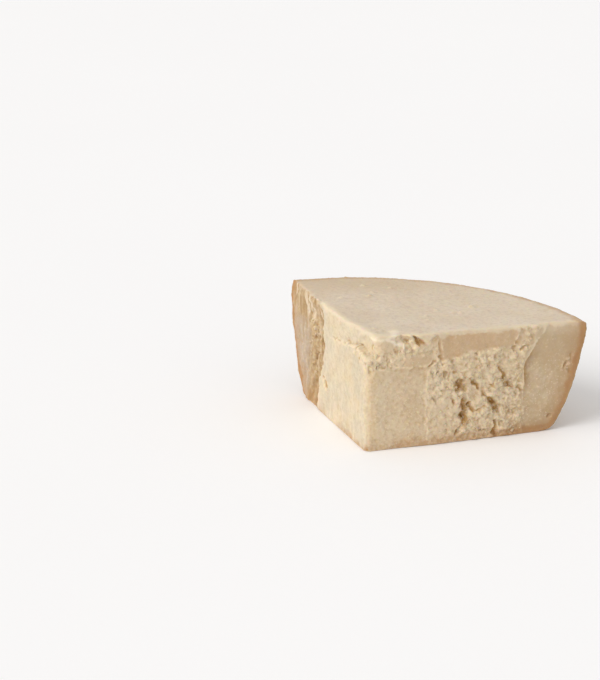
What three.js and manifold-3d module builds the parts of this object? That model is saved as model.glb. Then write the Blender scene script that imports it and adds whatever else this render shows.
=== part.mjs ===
// An eighth of an aged hard cheese wheel: a quarter turn of the wheel's lower half. The top is wire-cut,
// the two upright sides were scored with a knife and then cracked apart, and the heel and the base are rind.
// Millimetres, +Z up. One cracked side runs along +X from the tip, the other along +Y. While the chunk is
// worked out its tip's foot is at zero. At the end the origin moves to the middle of the bounding box, on
// the base.

import * as THREE from 'three';
import { ImprovedNoise } from 'three/addons/math/ImprovedNoise.js';
import { mergeVertices } from 'three/addons/utils/BufferGeometryUtils.js';
import Module from 'manifold-3d';

// Driving dimensions of the wheel
const WHEEL_RADIUS = 200; // at the wheel's mid height, where the top is cut
const WHEEL_AXIS = new THREE.Vector2(12, -2); // from the tip: the cracks missed the wheel's middle
const CUT_HEIGHT = 107; // base to top cut at the tip, before the tip sank
const HEEL_FOOT_RADIUS = 177.5; // where the heel meets its rounded lower edge
const HEEL_FOOT_HEIGHT = 12;
const HEEL_BELLY_HEIGHT = 66; // above this the heel swells little
const BASE_EDGE_RADIUS = 172.5; // where heel and base would meet if the edge were sharp
const BASE_FLAT_RADIUS = 160;
const HEEL_TURN_STEPS = 152; // facets in a whole turn
const PROFILE_STEPS = 7; // facets in each curve of the profile

// Top cut
const TOP_FALL_X = 4.8; // the cut is lower by this at the far end of the +X side
const TOP_RISE_Y = 1.4; // and higher by this at the far end of the +Y side
const TIP_DROOP = 2.5; // how far the tip has sunk, and how far back that shows
const TIP_DROOP_REACH = 22;

// Knife score along the top of both cracked sides
const SCORE_FLOOR_X = 85; // height of the score's lower lip on the +X side
const SCORE_START_X = 67; // nearer the tip its lip has crumbled away
const SCORE_END_X = 149;
const SCORE_DEPTH_X = 1.2;
const SCORE_FLOOR_Y = 91; // the lip on the +Y side, at the tip
const SCORE_DROP_Y = 0.13; // how fast that lip comes down away from the tip
const SCORE_DEPTH_Y = 3.2;
const LIP_WANDER = 2.5; // how far a lip strays up and down, and over what length
const LIP_WAVELENGTH = 14;

// Smooth panels that the wedging blades left on the +X side, on each side of the broken middle
const TIP_PANEL_END = 58;
const TIP_PANEL_TOP = 75;
const RIND_PANEL_START = 153;
const RIND_PANEL_SHOULDER = 73; // above this the panel's near edge curves away from the tip
const RIND_PANEL_CURVE = 21; // as far as this, at the top
const RIND_PANEL_BEND = 0.8;
const PANEL_DEPTH = 3.4;

// Broken surface on the +X side
const BROKEN_DEPTH = 1.4; // its usual depth behind the flat of the crack
const GRAIN_SIZE = 9.5;
const GRAIN_TOP = 0.65; // how high a grain stands at its usual, as a share of its full height
const GRAIN_RELIEF = 5.6;
const CRAG_SIZE = 17;
const CRAG_RELIEF = 3;

// The +Y side: a smooth slab from the tip, and a streaky break from there to the rind
const SLAB_END = 113;
const SLAB_END_WANDER = 11;
const SLAB_END_WAVELENGTH = 19;
const SLAB_RELIEF = 0.7;
const SLAB_WAVE_LENGTH = 30;
const SLAB_WAVE_HEIGHT = 22;
const BREAK_DEPTH = 6.5;
const STREAK_WIDTH = 6;
const STREAK_LENGTH = 34;
const STREAK_RELIEF = 2.6;

// Hollows where a crumb came away: place, width along the side, height, depth, and lean in degrees
const HOLLOWS_X = [
  { along: 88, up: 53, wide: 13, tall: 10, deep: 10, lean: 0 },
  { along: 94, up: 28, wide: 6, tall: 27, deep: 8, lean: 0 },
  { along: 102, up: 34, wide: 6, tall: 12, deep: 6, lean: 28 },
  { along: 123, up: 33, wide: 8, tall: 18, deep: 9, lean: 32 },
  { along: 106, up: 54, wide: 5, tall: 18, deep: 6, lean: 45 },
  { along: 132, up: 57, wide: 5, tall: 18, deep: 6, lean: 27 },
  { along: 48, up: 101, wide: 15, tall: 12, deep: 10, lean: 60 },
  { along: 63, up: 77, wide: 12, tall: 6, deep: 6, lean: 0 },
  { along: 71, up: 91, wide: 6, tall: 13, deep: 5, lean: 30 },
  { along: 125, up: 6, wide: 6, tall: 20, deep: 7, lean: 8 },
];
const HOLLOWS_Y = [
  { along: 142, up: 54, wide: 12, tall: 40, deep: 6, lean: 10 },
  { along: 119, up: 76, wide: 9, tall: 26, deep: 5, lean: -14 },
  { along: 137, up: 14, wide: 9, tall: 26, deep: 5, lean: 0 },
  { along: 102, up: 33, wide: 8, tall: 7, deep: 4, lean: 40 },
];

// A hollow is at its full depth inside the first share of its outline, and ends at the second
const HOLLOW_FLOOR = 0.45;
const HOLLOW_RIM = 1.1;

// Which slice of the noise each kind of unevenness is read from
const SLICE = { lipX: 3.7, crags: 0.5, lipY: 9.1, slab: 7.3, slabEnd: 2.6, streaks: 1.9 };
const LATTICE_STRIDE = 1009; // keeps the seeds of the grains' cells apart

// How finely the cut faces are divided
const FINE = 2.5;
const MEDIUM = 4.2;
const COARSE = 8;
const TOP_SPACING = 26;
const OVERRUN = 16; // how far each cutting block runs past the wheel
const BLOCK_DEPTH = 260;

const PASTE_COLOUR = 0xdcc6a0;

const wasm = await Module();
wasm.setup();
const perlin = new ImprovedNoise();
const { degToRad, seededRandom, smoothstep } = THREE.MathUtils;

// Grains packed side by side: 1 on top of a grain, falling to 0 in the seams between them. Each cell of a
// lattice holds one grain, and the draw of its middle is seeded by the cell.
function grains(a, b) {
  const column = Math.floor(a / GRAIN_SIZE);
  const row = Math.floor(b / GRAIN_SIZE);
  let nearest = Infinity;
  for (let i = column - 1; i <= column + 1; i += 1) {
    for (let j = row - 1; j <= row + 1; j += 1) {
      const centreA = (i + seededRandom(i * LATTICE_STRIDE + j)) * GRAIN_SIZE;
      const centreB = (j + seededRandom()) * GRAIN_SIZE;
      nearest = Math.min(nearest, Math.hypot(a - centreA, b - centreB));
    }
  }
  return Math.max(0, 1 - (nearest / GRAIN_SIZE) ** 2);
}

// Depth of the hollows at a place on a side, each a leaning oval with a soft rim.
function hollowDepth(hollows, along, up) {
  let depth = 0;
  for (const hollow of hollows) {
    const lean = degToRad(hollow.lean);
    const da = along - hollow.along;
    const du = up - hollow.up;
    const across = (da * Math.cos(lean) + du * Math.sin(lean)) / (hollow.wide / 2);
    const lengthwise = (du * Math.cos(lean) - da * Math.sin(lean)) / (hollow.tall / 2);
    const fromMiddle = Math.hypot(across, lengthwise);
    depth = Math.max(depth, hollow.deep * (1 - smoothstep(fromMiddle, HOLLOW_FLOOR, HOLLOW_RIM)));
  }
  return depth;
}

// Depth of the +X side's surface behind the flat of the crack.
function crackDepthX(along, up) {
  const aboveShoulder = Math.max(0, up - RIND_PANEL_SHOULDER) / (CUT_HEIGHT - RIND_PANEL_SHOULDER);
  const rindPanelEdge = RIND_PANEL_START + RIND_PANEL_CURVE * aboveShoulder ** RIND_PANEL_BEND;
  if (along > rindPanelEdge) return PANEL_DEPTH;
  if (along < TIP_PANEL_END && up < TIP_PANEL_TOP) return PANEL_DEPTH;
  const lip = SCORE_FLOOR_X + LIP_WANDER * perlin.noise(along / LIP_WAVELENGTH, 0, SLICE.lipX);
  if (up > lip && along > SCORE_START_X && along < SCORE_END_X) return SCORE_DEPTH_X;
  const crags = CRAG_RELIEF * perlin.noise(along / CRAG_SIZE, up / CRAG_SIZE, SLICE.crags);
  const seams = GRAIN_RELIEF * (GRAIN_TOP - grains(along, up));
  return Math.max(0, BROKEN_DEPTH + crags + seams) + hollowDepth(HOLLOWS_X, along, up);
}

// Depth of the +Y side's surface behind the flat of the crack.
function crackDepthY(along, up) {
  const hollow = hollowDepth(HOLLOWS_Y, along, up);
  const slabEnd = SLAB_END + SLAB_END_WANDER * perlin.noise(0, up / SLAB_END_WAVELENGTH, SLICE.slabEnd);
  if (along > slabEnd) {
    const streaks = STREAK_RELIEF * perlin.noise(along / STREAK_WIDTH, up / STREAK_LENGTH, SLICE.streaks);
    return BREAK_DEPTH + streaks + hollow;
  }
  const lip = SCORE_FLOOR_Y - SCORE_DROP_Y * along
    + LIP_WANDER * perlin.noise(along / LIP_WAVELENGTH, 0, SLICE.lipY);
  if (up > lip) return SCORE_DEPTH_Y + hollow;
  const wave = perlin.noise(along / SLAB_WAVE_LENGTH, up / SLAB_WAVE_HEIGHT, SLICE.slab);
  return Math.max(0, SLAB_RELIEF * (1 + 2 * wave)) + hollow;
}

// How far the wire cut lies below the level of its highest corner.
function topDepth(x, y) {
  const tilt = (TOP_FALL_X * x - TOP_RISE_Y * y) / WHEEL_RADIUS;
  const droop = TIP_DROOP * Math.exp(-((Math.hypot(x, y) / TIP_DROOP_REACH) ** 2));
  return TOP_RISE_Y + tilt + droop;
}

// Grid lines from a start over consecutive stretches, each given as its end and its greatest spacing.
function gridLines(start, stretches) {
  const lines = [start];
  for (const [end, spacing] of stretches) {
    const from = lines[lines.length - 1];
    const steps = Math.ceil((end - from) / spacing);
    for (let step = 1; step <= steps; step += 1) {
      lines.push(from + ((end - from) * step) / steps);
    }
  }
  return lines;
}

// Grid lines from under the base to over the top cut, close together where the cheese is.
function upwardLines(spacing) {
  return gridLines(-OVERRUN, [[0, OVERRUN], [CUT_HEIGHT, spacing], [CUT_HEIGHT + 2 * OVERRUN, OVERRUN]]);
}

// A closed three.js geometry as a solid that can be cut.
function solidFrom(geometry) {
  geometry.deleteAttribute('normal');
  geometry.deleteAttribute('uv');
  const merged = mergeVertices(geometry, 1e-3);
  const corners = merged.index.array;
  const triangles = [];
  for (let i = 0; i < corners.length; i += 3) {
    const [a, b, c] = corners.slice(i, i + 3);
    const hasArea = a !== b && b !== c && c !== a;
    if (hasArea) triangles.push(a, b, c);
  }
  return new wasm.Manifold(new wasm.Mesh({
    numProp: 3,
    vertProperties: new Float32Array(merged.attributes.position.array),
    triVerts: new Uint32Array(triangles),
  }));
}

// The wheel's lower half, turned from its profile: flat base, rounded edge, barrelled heel.
function lowerWheel() {
  const brim = CUT_HEIGHT + OVERRUN;
  const profile = new THREE.Path();
  profile.moveTo(0, 0);
  profile.lineTo(BASE_FLAT_RADIUS, 0);
  profile.quadraticCurveTo(BASE_EDGE_RADIUS, 0, HEEL_FOOT_RADIUS, HEEL_FOOT_HEIGHT);
  profile.quadraticCurveTo(WHEEL_RADIUS, HEEL_BELLY_HEIGHT, WHEEL_RADIUS, CUT_HEIGHT);
  profile.lineTo(WHEEL_RADIUS, brim);
  profile.lineTo(0, brim);
  const wheel = new THREE.LatheGeometry(profile.getPoints(PROFILE_STEPS), HEEL_TURN_STEPS);
  wheel.rotateX(Math.PI / 2);
  wheel.translate(WHEEL_AXIS.x, WHEEL_AXIS.y, 0);
  return solidFrom(wheel);
}

// A block that cuts away what lies outside a face. Its inner face follows depthAt over a grid of the two
// directions, measured inwards from the plane through zero, and the block lies on the outward side.
function cuttingBlock(firstLines, secondLines, depthAt, first, second) {
  const columns = firstLines.length - 1;
  const rows = secondLines.length - 1;
  const block = new THREE.BoxGeometry(1, 1, 1, columns, rows, 1);
  const place = block.attributes.position;
  for (let i = 0; i < place.count; i += 1) {
    const a = firstLines[Math.round((place.getX(i) + 0.5) * columns)];
    const b = secondLines[Math.round((place.getY(i) + 0.5) * rows)];
    const isInnerFace = place.getZ(i) < 0;
    place.setXYZ(i, a, b, isInnerFace ? -depthAt(a, b) : BLOCK_DEPTH);
  }
  const outward = first.clone().cross(second);
  block.applyMatrix4(new THREE.Matrix4().makeBasis(first, second, outward));
  return block;
}

function topCut() {
  const lines = gridLines(-OVERRUN, [[TIP_DROOP_REACH, COARSE], [WHEEL_RADIUS + 2 * OVERRUN, TOP_SPACING]]);
  const block = cuttingBlock(lines, lines, topDepth, new THREE.Vector3(1, 0, 0), new THREE.Vector3(0, 1, 0));
  block.translate(0, 0, CUT_HEIGHT + TOP_RISE_Y);
  return solidFrom(block);
}

function crackX() {
  const alongLines = gridLines(-WHEEL_RADIUS, [
    [0, WHEEL_RADIUS], [TIP_PANEL_END, MEDIUM], [RIND_PANEL_START, FINE],
    [RIND_PANEL_START + RIND_PANEL_CURVE, MEDIUM], [WHEEL_RADIUS + 2 * OVERRUN, COARSE],
  ]);
  const upLines = upwardLines(FINE);
  const block = cuttingBlock(
    alongLines, upLines, crackDepthX, new THREE.Vector3(1, 0, 0), new THREE.Vector3(0, 0, 1));
  return solidFrom(block);
}

function crackY() {
  const alongLines = gridLines(-OVERRUN, [
    [0, COARSE], [SLAB_END - SLAB_END_WANDER, COARSE], [WHEEL_RADIUS, MEDIUM],
    [WHEEL_RADIUS + OVERRUN, COARSE],
  ]);
  const upLines = upwardLines(MEDIUM);
  const block = cuttingBlock(
    upLines, alongLines, (up, along) => crackDepthY(along, up),
    new THREE.Vector3(0, 0, 1), new THREE.Vector3(0, 1, 0));
  return solidFrom(block);
}

// The chunk that is left, with its origin under the middle of its bounding box.
function chunkGeometry() {
  const cut = lowerWheel().subtract(topCut()).subtract(crackX()).subtract(crackY()).getMesh();
  const geometry = new THREE.BufferGeometry();
  geometry.setAttribute('position', new THREE.BufferAttribute(cut.vertProperties, 3));
  geometry.setIndex(new THREE.BufferAttribute(cut.triVerts, 1));
  geometry.computeBoundingBox();
  const { min, max } = geometry.boundingBox;
  geometry.translate(-(min.x + max.x) / 2, -(min.y + max.y) / 2, -min.z);
  geometry.computeVertexNormals();
  return geometry;
}

const chunk = new THREE.Mesh(
  chunkGeometry(),
  new THREE.MeshStandardMaterial({ color: PASTE_COLOUR, roughness: 0.75, metalness: 0 }),
);
chunk.name = 'cheese_chunk';

const cheese = new THREE.Group();
cheese.add(chunk);

export default cheese;
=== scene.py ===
"""A chunk cracked from a wheel of aged hard cheese, on a pale studio floor.

The chunk is cut from a turned wheel, marked by blades, hollowed and roughened, and loose crumbs are added.
The tip's foot is the low corner of the part's box. One broken side runs along +X from it (the front), the
other along +Y (the left). Shapes on the sides are worked out in millimetres from the tip's foot.
"""

import itertools
import math
from collections import namedtuple
from types import SimpleNamespace

import bpy
import numpy as np
from bpy.props import FloatProperty, FloatVectorProperty, IntProperty, PointerProperty
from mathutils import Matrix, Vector


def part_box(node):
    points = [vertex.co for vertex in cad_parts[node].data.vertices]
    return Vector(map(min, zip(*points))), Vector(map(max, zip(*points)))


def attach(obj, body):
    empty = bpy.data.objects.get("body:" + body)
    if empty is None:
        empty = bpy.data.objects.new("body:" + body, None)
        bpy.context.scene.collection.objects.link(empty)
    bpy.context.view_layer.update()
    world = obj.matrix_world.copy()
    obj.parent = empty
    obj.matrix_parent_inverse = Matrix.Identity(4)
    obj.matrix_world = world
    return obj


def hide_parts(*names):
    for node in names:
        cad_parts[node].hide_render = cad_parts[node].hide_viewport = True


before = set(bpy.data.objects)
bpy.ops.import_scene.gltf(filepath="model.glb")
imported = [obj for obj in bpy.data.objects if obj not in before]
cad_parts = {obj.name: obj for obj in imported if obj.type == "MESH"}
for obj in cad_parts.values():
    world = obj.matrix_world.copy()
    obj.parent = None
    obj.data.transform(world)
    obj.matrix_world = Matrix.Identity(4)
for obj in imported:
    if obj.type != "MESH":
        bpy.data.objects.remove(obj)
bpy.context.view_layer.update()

bl_info = {
    "name": "Hard Cheese Chunk",
    "version": (1, 0, 0),
    "blender": (4, 5, 0),
    "location": "3D View > Sidebar > Cheese",
    "description": "Models a chunk cracked from a wheel of aged hard cheese, and a studio for it",
    "category": "Add Mesh",
}

MM = 0.001
CHUNK_NODE = "cheese_chunk"
TIP_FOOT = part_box(CHUNK_NODE)[0]
FRAME_HEIGHT = 680
FOCAL_PIXELS = 2200
SENSOR = 36.0

# Height of the top cut at the tip, in millimetres, and how far past it the wheel's outside is drawn
CUT_UP = 107
PAST_CUT = 1.2
# Steps of the wheel's curves and of its worn edges, and the angle from which an edge is worn
CORNER_STEPS = 6
HEEL_STEPS = 14
RIM_STEPS = 5
WEAR_STEPS = 3
WEAR_ANGLE = math.radians(35)

# Hollows where crumbs came away: millimetres along the side and up from the base, width, height and depth in
# millimetres, and lean in degrees from upright, with the top towards the tip
Hollow = namedtuple("Hollow", "along up wide tall deep lean")
FRONT_HOLLOWS = [Hollow(*row) for row in (
    (89, 53, 7.5, 12, 8.5, 5), (94, 27, 5.5, 28, 8.5, 0), (101, 32, 3.8, 14, 6, 38),
    (109, 29.5, 3.5, 7, 4, -60), (123.5, 32.5, 6, 18, 7.5, 35), (115, 42, 2.4, 12, 3.5, 45),
    (105, 53.5, 2, 17, 4.5, 45), (103.5, 44, 9, 14, 1.6, 0), (129, 63, 3, 12, 5, 60),
    (133, 56, 4, 15, 6.5, 14), (138, 48.5, 3, 12, 5, 53), (121.5, 49.5, 3.5, 6, 4.5, 0),
    (75, 65, 2.5, 6, 2, 0), (85.5, 68, 3.5, 7, 3.2, 20), (79.5, 64.5, 2, 9, 2.2, 0),
    (66, 67.5, 2, 5, 1.6, 0), (62.5, 77, 2, 10, 3, -55), (70.5, 82, 3, 8, 2.6, 5),
    (69.5, 91, 2.5, 14, 1.8, 18), (149, 43, 2.5, 10, 3.5, 50), (125, 7, 3.5, 20, 5.5, 0),
    (129.5, 13.5, 2.5, 8, 2.5, -15), (62, 17, 3, 5, 1.2, 0), (79, 10, 2.5, 5, 1.4, 0),
    (71.5, 46.5, 2, 8, 1.8, -20), (72, 52, 2, 8, 1.8, 30), (90, 11, 2, 12, 3, -33),
    (122, 76.5, 3, 6, 2.5, 40), (143, 83, 3, 5, 1.8, 0), (149.5, 82, 3, 5, 2, 0),
    (147, 90, 3.5, 12, 2, -15), (97.2, 71.3, 1.8, 8, 2.2, 25), (107.8, 76.7, 1.8, 6, 1.8, 80),
    (94.2, 62.9, 3, 8, 2.2, 35), (72, 77.5, 2, 6, 2.2, 5), (114.8, 71.2, 1.6, 6, 1.8, 40),
    (48, 100.2, 3.3, 17, 6, 47), (31, 91, 5, 6, 1.8, 20), (36, 102.5, 2, 5, 2, 50),
    (43.5, 92, 2, 7, 1.8, 20), (40.5, 97.5, 2.5, 8, 2.4, 30), (38.5, 87, 2.5, 5, 1.6, 0),
    (20.5, 87, 2.5, 9, 1.6, 10), (21.5, 79, 2.5, 6, 1.5, 0), (28, 80, 2.5, 6, 1.5, 10),
    (13, 80, 3, 7, 1.5, -60), (3.5, 76, 3, 10, 2.8, 0), (194.5, 62, 2.2, 9, 2.2, -10),
    (198, 57, 3, 10, 1.6, -20), (199, 69, 3, 9, 1.6, -20), (180, 16, 2.2, 6, 2.2, -60),
)]
LEFT_HOLLOWS = [Hollow(*row) for row in (
    (116, 79, 4, 18, 2.5, 0), (138, 50, 6, 36, 3.5, 21), (139, 25, 6, 24, 3.5, 0),
    (139, 10, 5, 16, 2.5, 0), (124, 60, 4, 28, 3, 10), (105, 33, 3.2, 10, 3.6, -45),
    (110, 36.5, 2.6, 9, 2.2, -70), (101, 29, 1.8, 7, 1.8, -25), (12, 95, 2.5, 8, 2, 10),
    (30.5, 90, 3, 5, 2, 0), (17, 84, 3, 6, 2, 30), (7, 80, 3, 6, 2, 0),
)]
# The ranges that further hollows are drawn from
FRONT_PITS = Hollow((62, 148), (4, 80), (1.2, 2.2), (5, 12), (1.5, 2.6), (0, 60))
LEFT_PITS = Hollow((118, 156), (4, 100), (1.5, 3), (14, 36), (1, 2.5), (-8, 12))
# A hollow's steep side, gentle side and ends, as ramps over its width and height, and its usual depth
HOLLOW_STEEP = (-0.8, -0.1)
HOLLOW_GENTLE = (1.3, -0.1)
HOLLOW_ENDS = (0.68, 0.2)
HOLLOW_DEPTH = 0.88

# Waves of a ragged line or surface: how far they stray, their length, and the seed of their noise
SLAB_WAVES = ((2.2, 5, 11), (3.5, 12, 19))
LEFT_LIP_WAVES = ((1.2, 9, 12), (1.6, 4, 20))
FRONT_LIP_WAVES = ((1.8, 12, 13), (1.6, 4, 14))
RIND_MARK_WAVES = ((0.7, 8, 15),)
TIP_MARK_END_WAVES = ((1.1, 7, 16),)
TIP_MARK_TOP_WAVES = ((1.3, 8, 17), (2.0, 15, 23))
HOLLOW_WAVES_ALONG = ((1.5, 6, 31), (1.0, 2.5, 32))
HOLLOW_WAVES_UP = ((1.5, 6, 33), (1.0, 2.5, 34))
HOLLOW_DEPTH_WAVES = ((0.28, 3, 36),)
CHIP_WAVES = ((0.6, 3, 35),)
WAVE_LATTICE = 64

# Patches of a surface: length and seed of their noise, and the ramp that it is taken through
FOOT_PATCHES = (9, 18, (-0.4, 0.5))
LIP_PATCHES = (6, 21, (-0.5, 0.3))
CRACK_PATCHES = (7, 22, (-0.1, 0.3))
CRUMB_PATCHES = (14, 24, (-0.3, 0.4, 0.6))

# Outlines on the sides, in millimetres. The left slab's end strays at some heights, by a share of its wander.
# The left score's lip has these heights along the side. The chip of the front's top edge has a middle and
# half a height along the front.
SLAB_UP = (0, 23, 45, 65, 85, CUT_UP)
SLAB_STRAY = (1.2, 1.0, -0.4, -1.0, -0.7, 0.3)
LIP_ALONG = (0, 11, 27, 37, 65, 94, 130)
LIP_UP = (84, 88, 91, 92, 87, 81, 76)
FRONT_LIP_SAG = (104, 86, 4.5)
CHIP_ALONG = (19, 22, 32, 40, 46)
CHIP_UP = (102.5, 102.5, 102, 101.5, 101)
CHIP_HALF = (-1.2, 0, 4.5, 5, -2)

# Regions of the surface. A row is a coordinate, its value where the share is 0, its value where the share is
# at its most, that most if it isn't 1, and a middle if the coordinate counts from one both ways. Rows
# multiply.
Ramp = namedtuple("Ramp", "coordinate zero full most middle", defaults=(1.0, None))
TOP_SKIN = (("facing_up", 0.6, 0.9), ("below_top", 5, 3))
BASE_SKIN = (("z", 1.5, 0.4),)
RIND_SKIN = (("from_heel", 4, 1),)
INSIDE_RIND = (("from_heel", 1, 4),)
NEARER_FRONT = (("apart", -2, 2),)
FRONT_REACH = (("y", 22, 14),)
LEFT_REACH = (("x", 26, 18),)
# Of the blades' marks: shallower parts, a deeper border, and the break next to the slab
TIP_MARK_LOW = (("z", 42, 18, 0.8),)
RIND_MARK_LOW = (("z", 60, 25, 2.1),)
RIND_MARK_FAR = (("x", 165, 205, 0.6),)
RIND_MARK_HIGH = (("z", 74, 88, 0.4),)
RIND_MARK_BORDER = (("x", 168, 156), ("z", 38, 56), ("z", 84, 72))
GAP = (("y", 175, 125), ("z", 106, 84), ("z", -4, 26))
# Of the front: smooth parts and the chip
SHELF = (("x", 33, 42), ("x", 66, 58), ("z", 89, 82), ("z", 70, 74))
SCORE = (("over_front_lip", -2, 2.5), ("x", 64, 70), ("x", 152, 146))
TIP_MARK = (("past_tip_mark", 1.5, -0.5), ("over_tip_mark", 1.5, -1))
TIP_MARK_FOOT = (("z", 20, 5, 0.4),)
RIND_MARK_RISE = (("z", 68, 80),)
STRIP = (("x", 70, 60), ("over_tip_mark", 1, 3))
FACET = (*STRIP, ("z", 88, 93, 0.88), ("x", 32, 26))
FLAKED = (*STRIP, ("z", 90, 95, 0.3), ("x", 26, 32))
LOW_FRONT = (("x", 100, 80, 0.3), ("z", 52, 38))
CHIP = (("inside_chip", -0.3, 1.8), ("y", 14, 9), ("x", 18, 44))
ROUND_CHIP = (("inside_chip", -4, -1), ("y", 20, 12))
CHIP_RIM = (("inside_chip", 2.3, 0.8, 1.0, -0.6),)
CHIP_FLOOR = (("inside_chip", -1, 1, 0.6),)
CHIP_POINT = (("x", 38, 32), ("y", 20, 14))
# Of the left side: the score's crumbled lip and its cracks, and the break beyond the slab
LIP_BREAK = (("over_left_lip", 9, 3, 0.8, -2), ("y", 75, 25))
LIP_BREAK_WHOLE = (("y", 24, 12),)
LIP_CRACKS = (("over_left_lip", 1.3, 0.3, 1.0, 0), ("y", 98, 80))
SLAB_STEP = (("past_slab", -2, 1),)
LEFT_CALM = (("y", 146, 160, 0.3),)
STREAKED = (("past_slab", -2, 2), ("y", 185, 140))
FLARED = (("y", 150, 186), ("x", 30, 0), ("z", 0, 25), ("z", 106, 92))
# Of wear and of the blades' grain, which is finer by the rind
WORN = (("below_top", 9, 5),)
UPPER_TIP = (("z", 80, 92),)
FINER = (("x", 150, 175, 0.4),)
# That the finish reads
# Painted shadow that the rough part casts on the mark by the rind, along that mark's left border
SHADED = (("into_rind_mark", 9, 1), ("into_rind_mark", -0.5, 0.5), ("z", 40, 52), ("z", 86, 74))
RIM = (("below_top", 7, 5), ("y", 2, 8), ("x", 2, 8))
OVER_BREAK = (("past_slab", -8, 4), ("x", 40, 25))
# RIDGE and BROW: where a painted highlight goes, on the ridge before the mark by the rind and along the top's
# edges
RIDGE = (("into_rind_mark", 4, 1.5, 1.0, -1), ("z", 70, 77))
BROW = (("below_top", 8, 4.5),)
UPPER_RIND = (("x", 150, 166), ("below_top", 15, 3))
FAR_SIDE = (("apart", 100, -120),)
LEFT_BREAK = (("past_slab", -1, 1),)
LEFT_SLAB = (("past_slab", 1, -1),)
LEFT_RIM = (("leaning_y", 152, 162), ("z", 90, 65))
# Where painted light goes on the tip's upright edge
TIP_EDGE = (("apart", 9, 1, 1.0, 3), ("z", 0, 20), ("z", 84, 74))
CRUMBS_UP = (("z", 2, 9),)
LEANING_Y = 0.08

# Round spots on a side or the top: middle both ways, radius, and the most if it isn't 1
HEEL_NICK = (197, 62, 7, 0.5)
FOOT_NICK = (180, 16, 4, 0.4)
FLAKED_NOTCH = (44, 102, 10)
CALM_SPOT = (105, 45, 8, 0.85)
# Spot of painted shade on the calm patch, in the colour of the knife's score
CALM_TONE = (105, 45, 7)
CHIP_DENT = (37, 3, 7)
UPPER_TIP_SPOT = (1, 4, 10)

# Cutting blocks: how far they reach outside the chunk, and their cuts each way
CUTTER_OUT = 20
CUTTER_CUTS = 40
# The tip's mark gets shallower from a place on, and the start of the mark by the rind moves within a reach
TIP_MARK_RISE = 1.0
TIP_MARK_RISE_START = 20
RIND_MARK_REACH = 40
# The front score runs in and out over these lengths, from this far outside the side
SCORE_RUN_IN = 14
SCORE_RUN_OUT = 8
SCORE_OUTSIDE = 0.5
# The facet over the tip's mark: a height between its foot and the top, its lean at the three, where it is
# whole, and how far outside the side it ends
FACET_MIDDLE = 93
FACET_LEAN = (-0.7, 0.3, 1.0)
FACET_WHOLE = 28
FACET_OUTSIDE = 0.3
# The left score: rounding of the tip above it and where that starts, where it is whole, and its least depth
UPPER_TIP_ROUND = 3.0
UPPER_TIP_IN = 2
LEFT_SCORE_WHOLE = 4
LEFT_SCORE_LEAST = 0.5
GAP_LEAST = 0.6
# A clod that stands out at the front's foot: place, size, and fineness and unevenness of its ball
CLOD_PLACE = (96, 1, 12)
CLOD_SIZE = (9, 9, 12)
CLOD_FINENESS = 3
CLOD_UNEVEN = 0.08

# How smooth the score and the shelf are, how rough the left break is, and the border of the mark by the rind,
# which is a wider ramp higher up
SCORE_SMOOTH = 0.96
SHELF_SMOOTH = 0.75
LEFT_ROUGH = 0.8
RIND_BORDER = (-5, 0.5)
RIND_BORDER_HIGH = (-12, -2)
CHIP_DEEP = 3.5
CHIP_DENT_DEEP = 1.8
CHIP_SHARP = 0.9
# Rounds of softening: all over, along the top's edges and at the upper tip
EVEN_ROUNDS = 5
WORN_ROUNDS = 40
TIP_ROUNDS = 70
SOFT_SHARE = 0.5
WEIGHT_LEVELS = 250

# Relief of the break: grain of its textures in metres, and some depths
CRAG_GRAIN = 0.02
LUMP_GRAIN = 0.0085
CLOD_GRAIN = 0.0055
SHIFT_GRAIN = 0.006
SHIFT_DEPTH = 0.002
STREAK_GRAIN = 0.005
STREAK_STRETCH = (1, 1, 5)
CRUMB_GRAIN = 0.003
FINE_GRAIN = 0.0016
CELL_MIDDLE = 0.35
CRUMBLED_LEAST = 0.4
FINER_LEFT = 0.6
FINER_SCORE = 0.4
CRACK_DEEP = 0.0011
MOUND_HIGH = 0.0012
# Cloudy relief of the cuts and the rind: where it lies, its name, grain and depth in metres, and its layers
Relief = namedtuple("Relief", "group name grain depth layers", defaults=(1,))
CUT_RELIEFS = (
    Relief("bladed", "blade_waves", 0.012, 0.0016),
    Relief("finer", "blade_grain", 0.0026, 0.001),
    Relief("top", "wire_waves", 0.018, 0.0009),
    Relief("top", "wire_grain", 0.0036, 0.0006),
    Relief("rind", "rind_dents", 0.026, 0.0022),
    Relief("rind", "rind_wrinkles", 0.005, 0.0011, 2),
)

# What the finish reads: rounds of averaging that show crevices and hollows, depth of a painted shadow, and
# some shares
CREVICE_ROUNDS = 12
HOLLOW_ROUNDS = 60
SHADE_DEPTH = 3.5
SHELF_TONE = 0.6
LEFT_CRUMBS = 0.2

# Crumbs: kinds, fineness and unevenness of their shapes, then variety, limits, sinking and stretch of sizes
CRUMB_KINDS = 8
CRUMB_FINENESS = 2
CRUMB_UNEVEN = 0.28
CRUMB_VARIETY = 0.45
CRUMB_LIMITS = (0.5, 2.6)
CRUMB_SINK = (-0.6, 0.1)
CRUMB_STRETCH = (0.65, 1.2)
CRUMB_CLEARANCE = 1.5
# A pale flake below the chip: place along, in and up from the tip, and size each way
FLAKE_PLACE = (35.6, 1.4, 95)
FLAKE_SIZE = (3.2, 3, 10)
FLAKE_PALE = 0.8
# Places on the top, along X and Y from the tip, with the width of the small mound there
TOP_MOUNDS = (
    (129, 67, 8), (93, 65, 5), (105, 54, 5), (111, 52, 5), (77, 51, 4), (73, 38, 5), (23, 125, 5),
    (51, 124, 6), (57, 159, 5), (57, 135, 4), (79, 144, 5), (20, 19, 5), (17, 27, 5),
)
# The bump on each mound: half its size as shares of the mound's width, and how far it stands over the top
BUMP_SHARES = (0.3, 0.3, 0.15)
BUMP_OVER = 0.3
BUMP_PALE = 0.3

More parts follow.
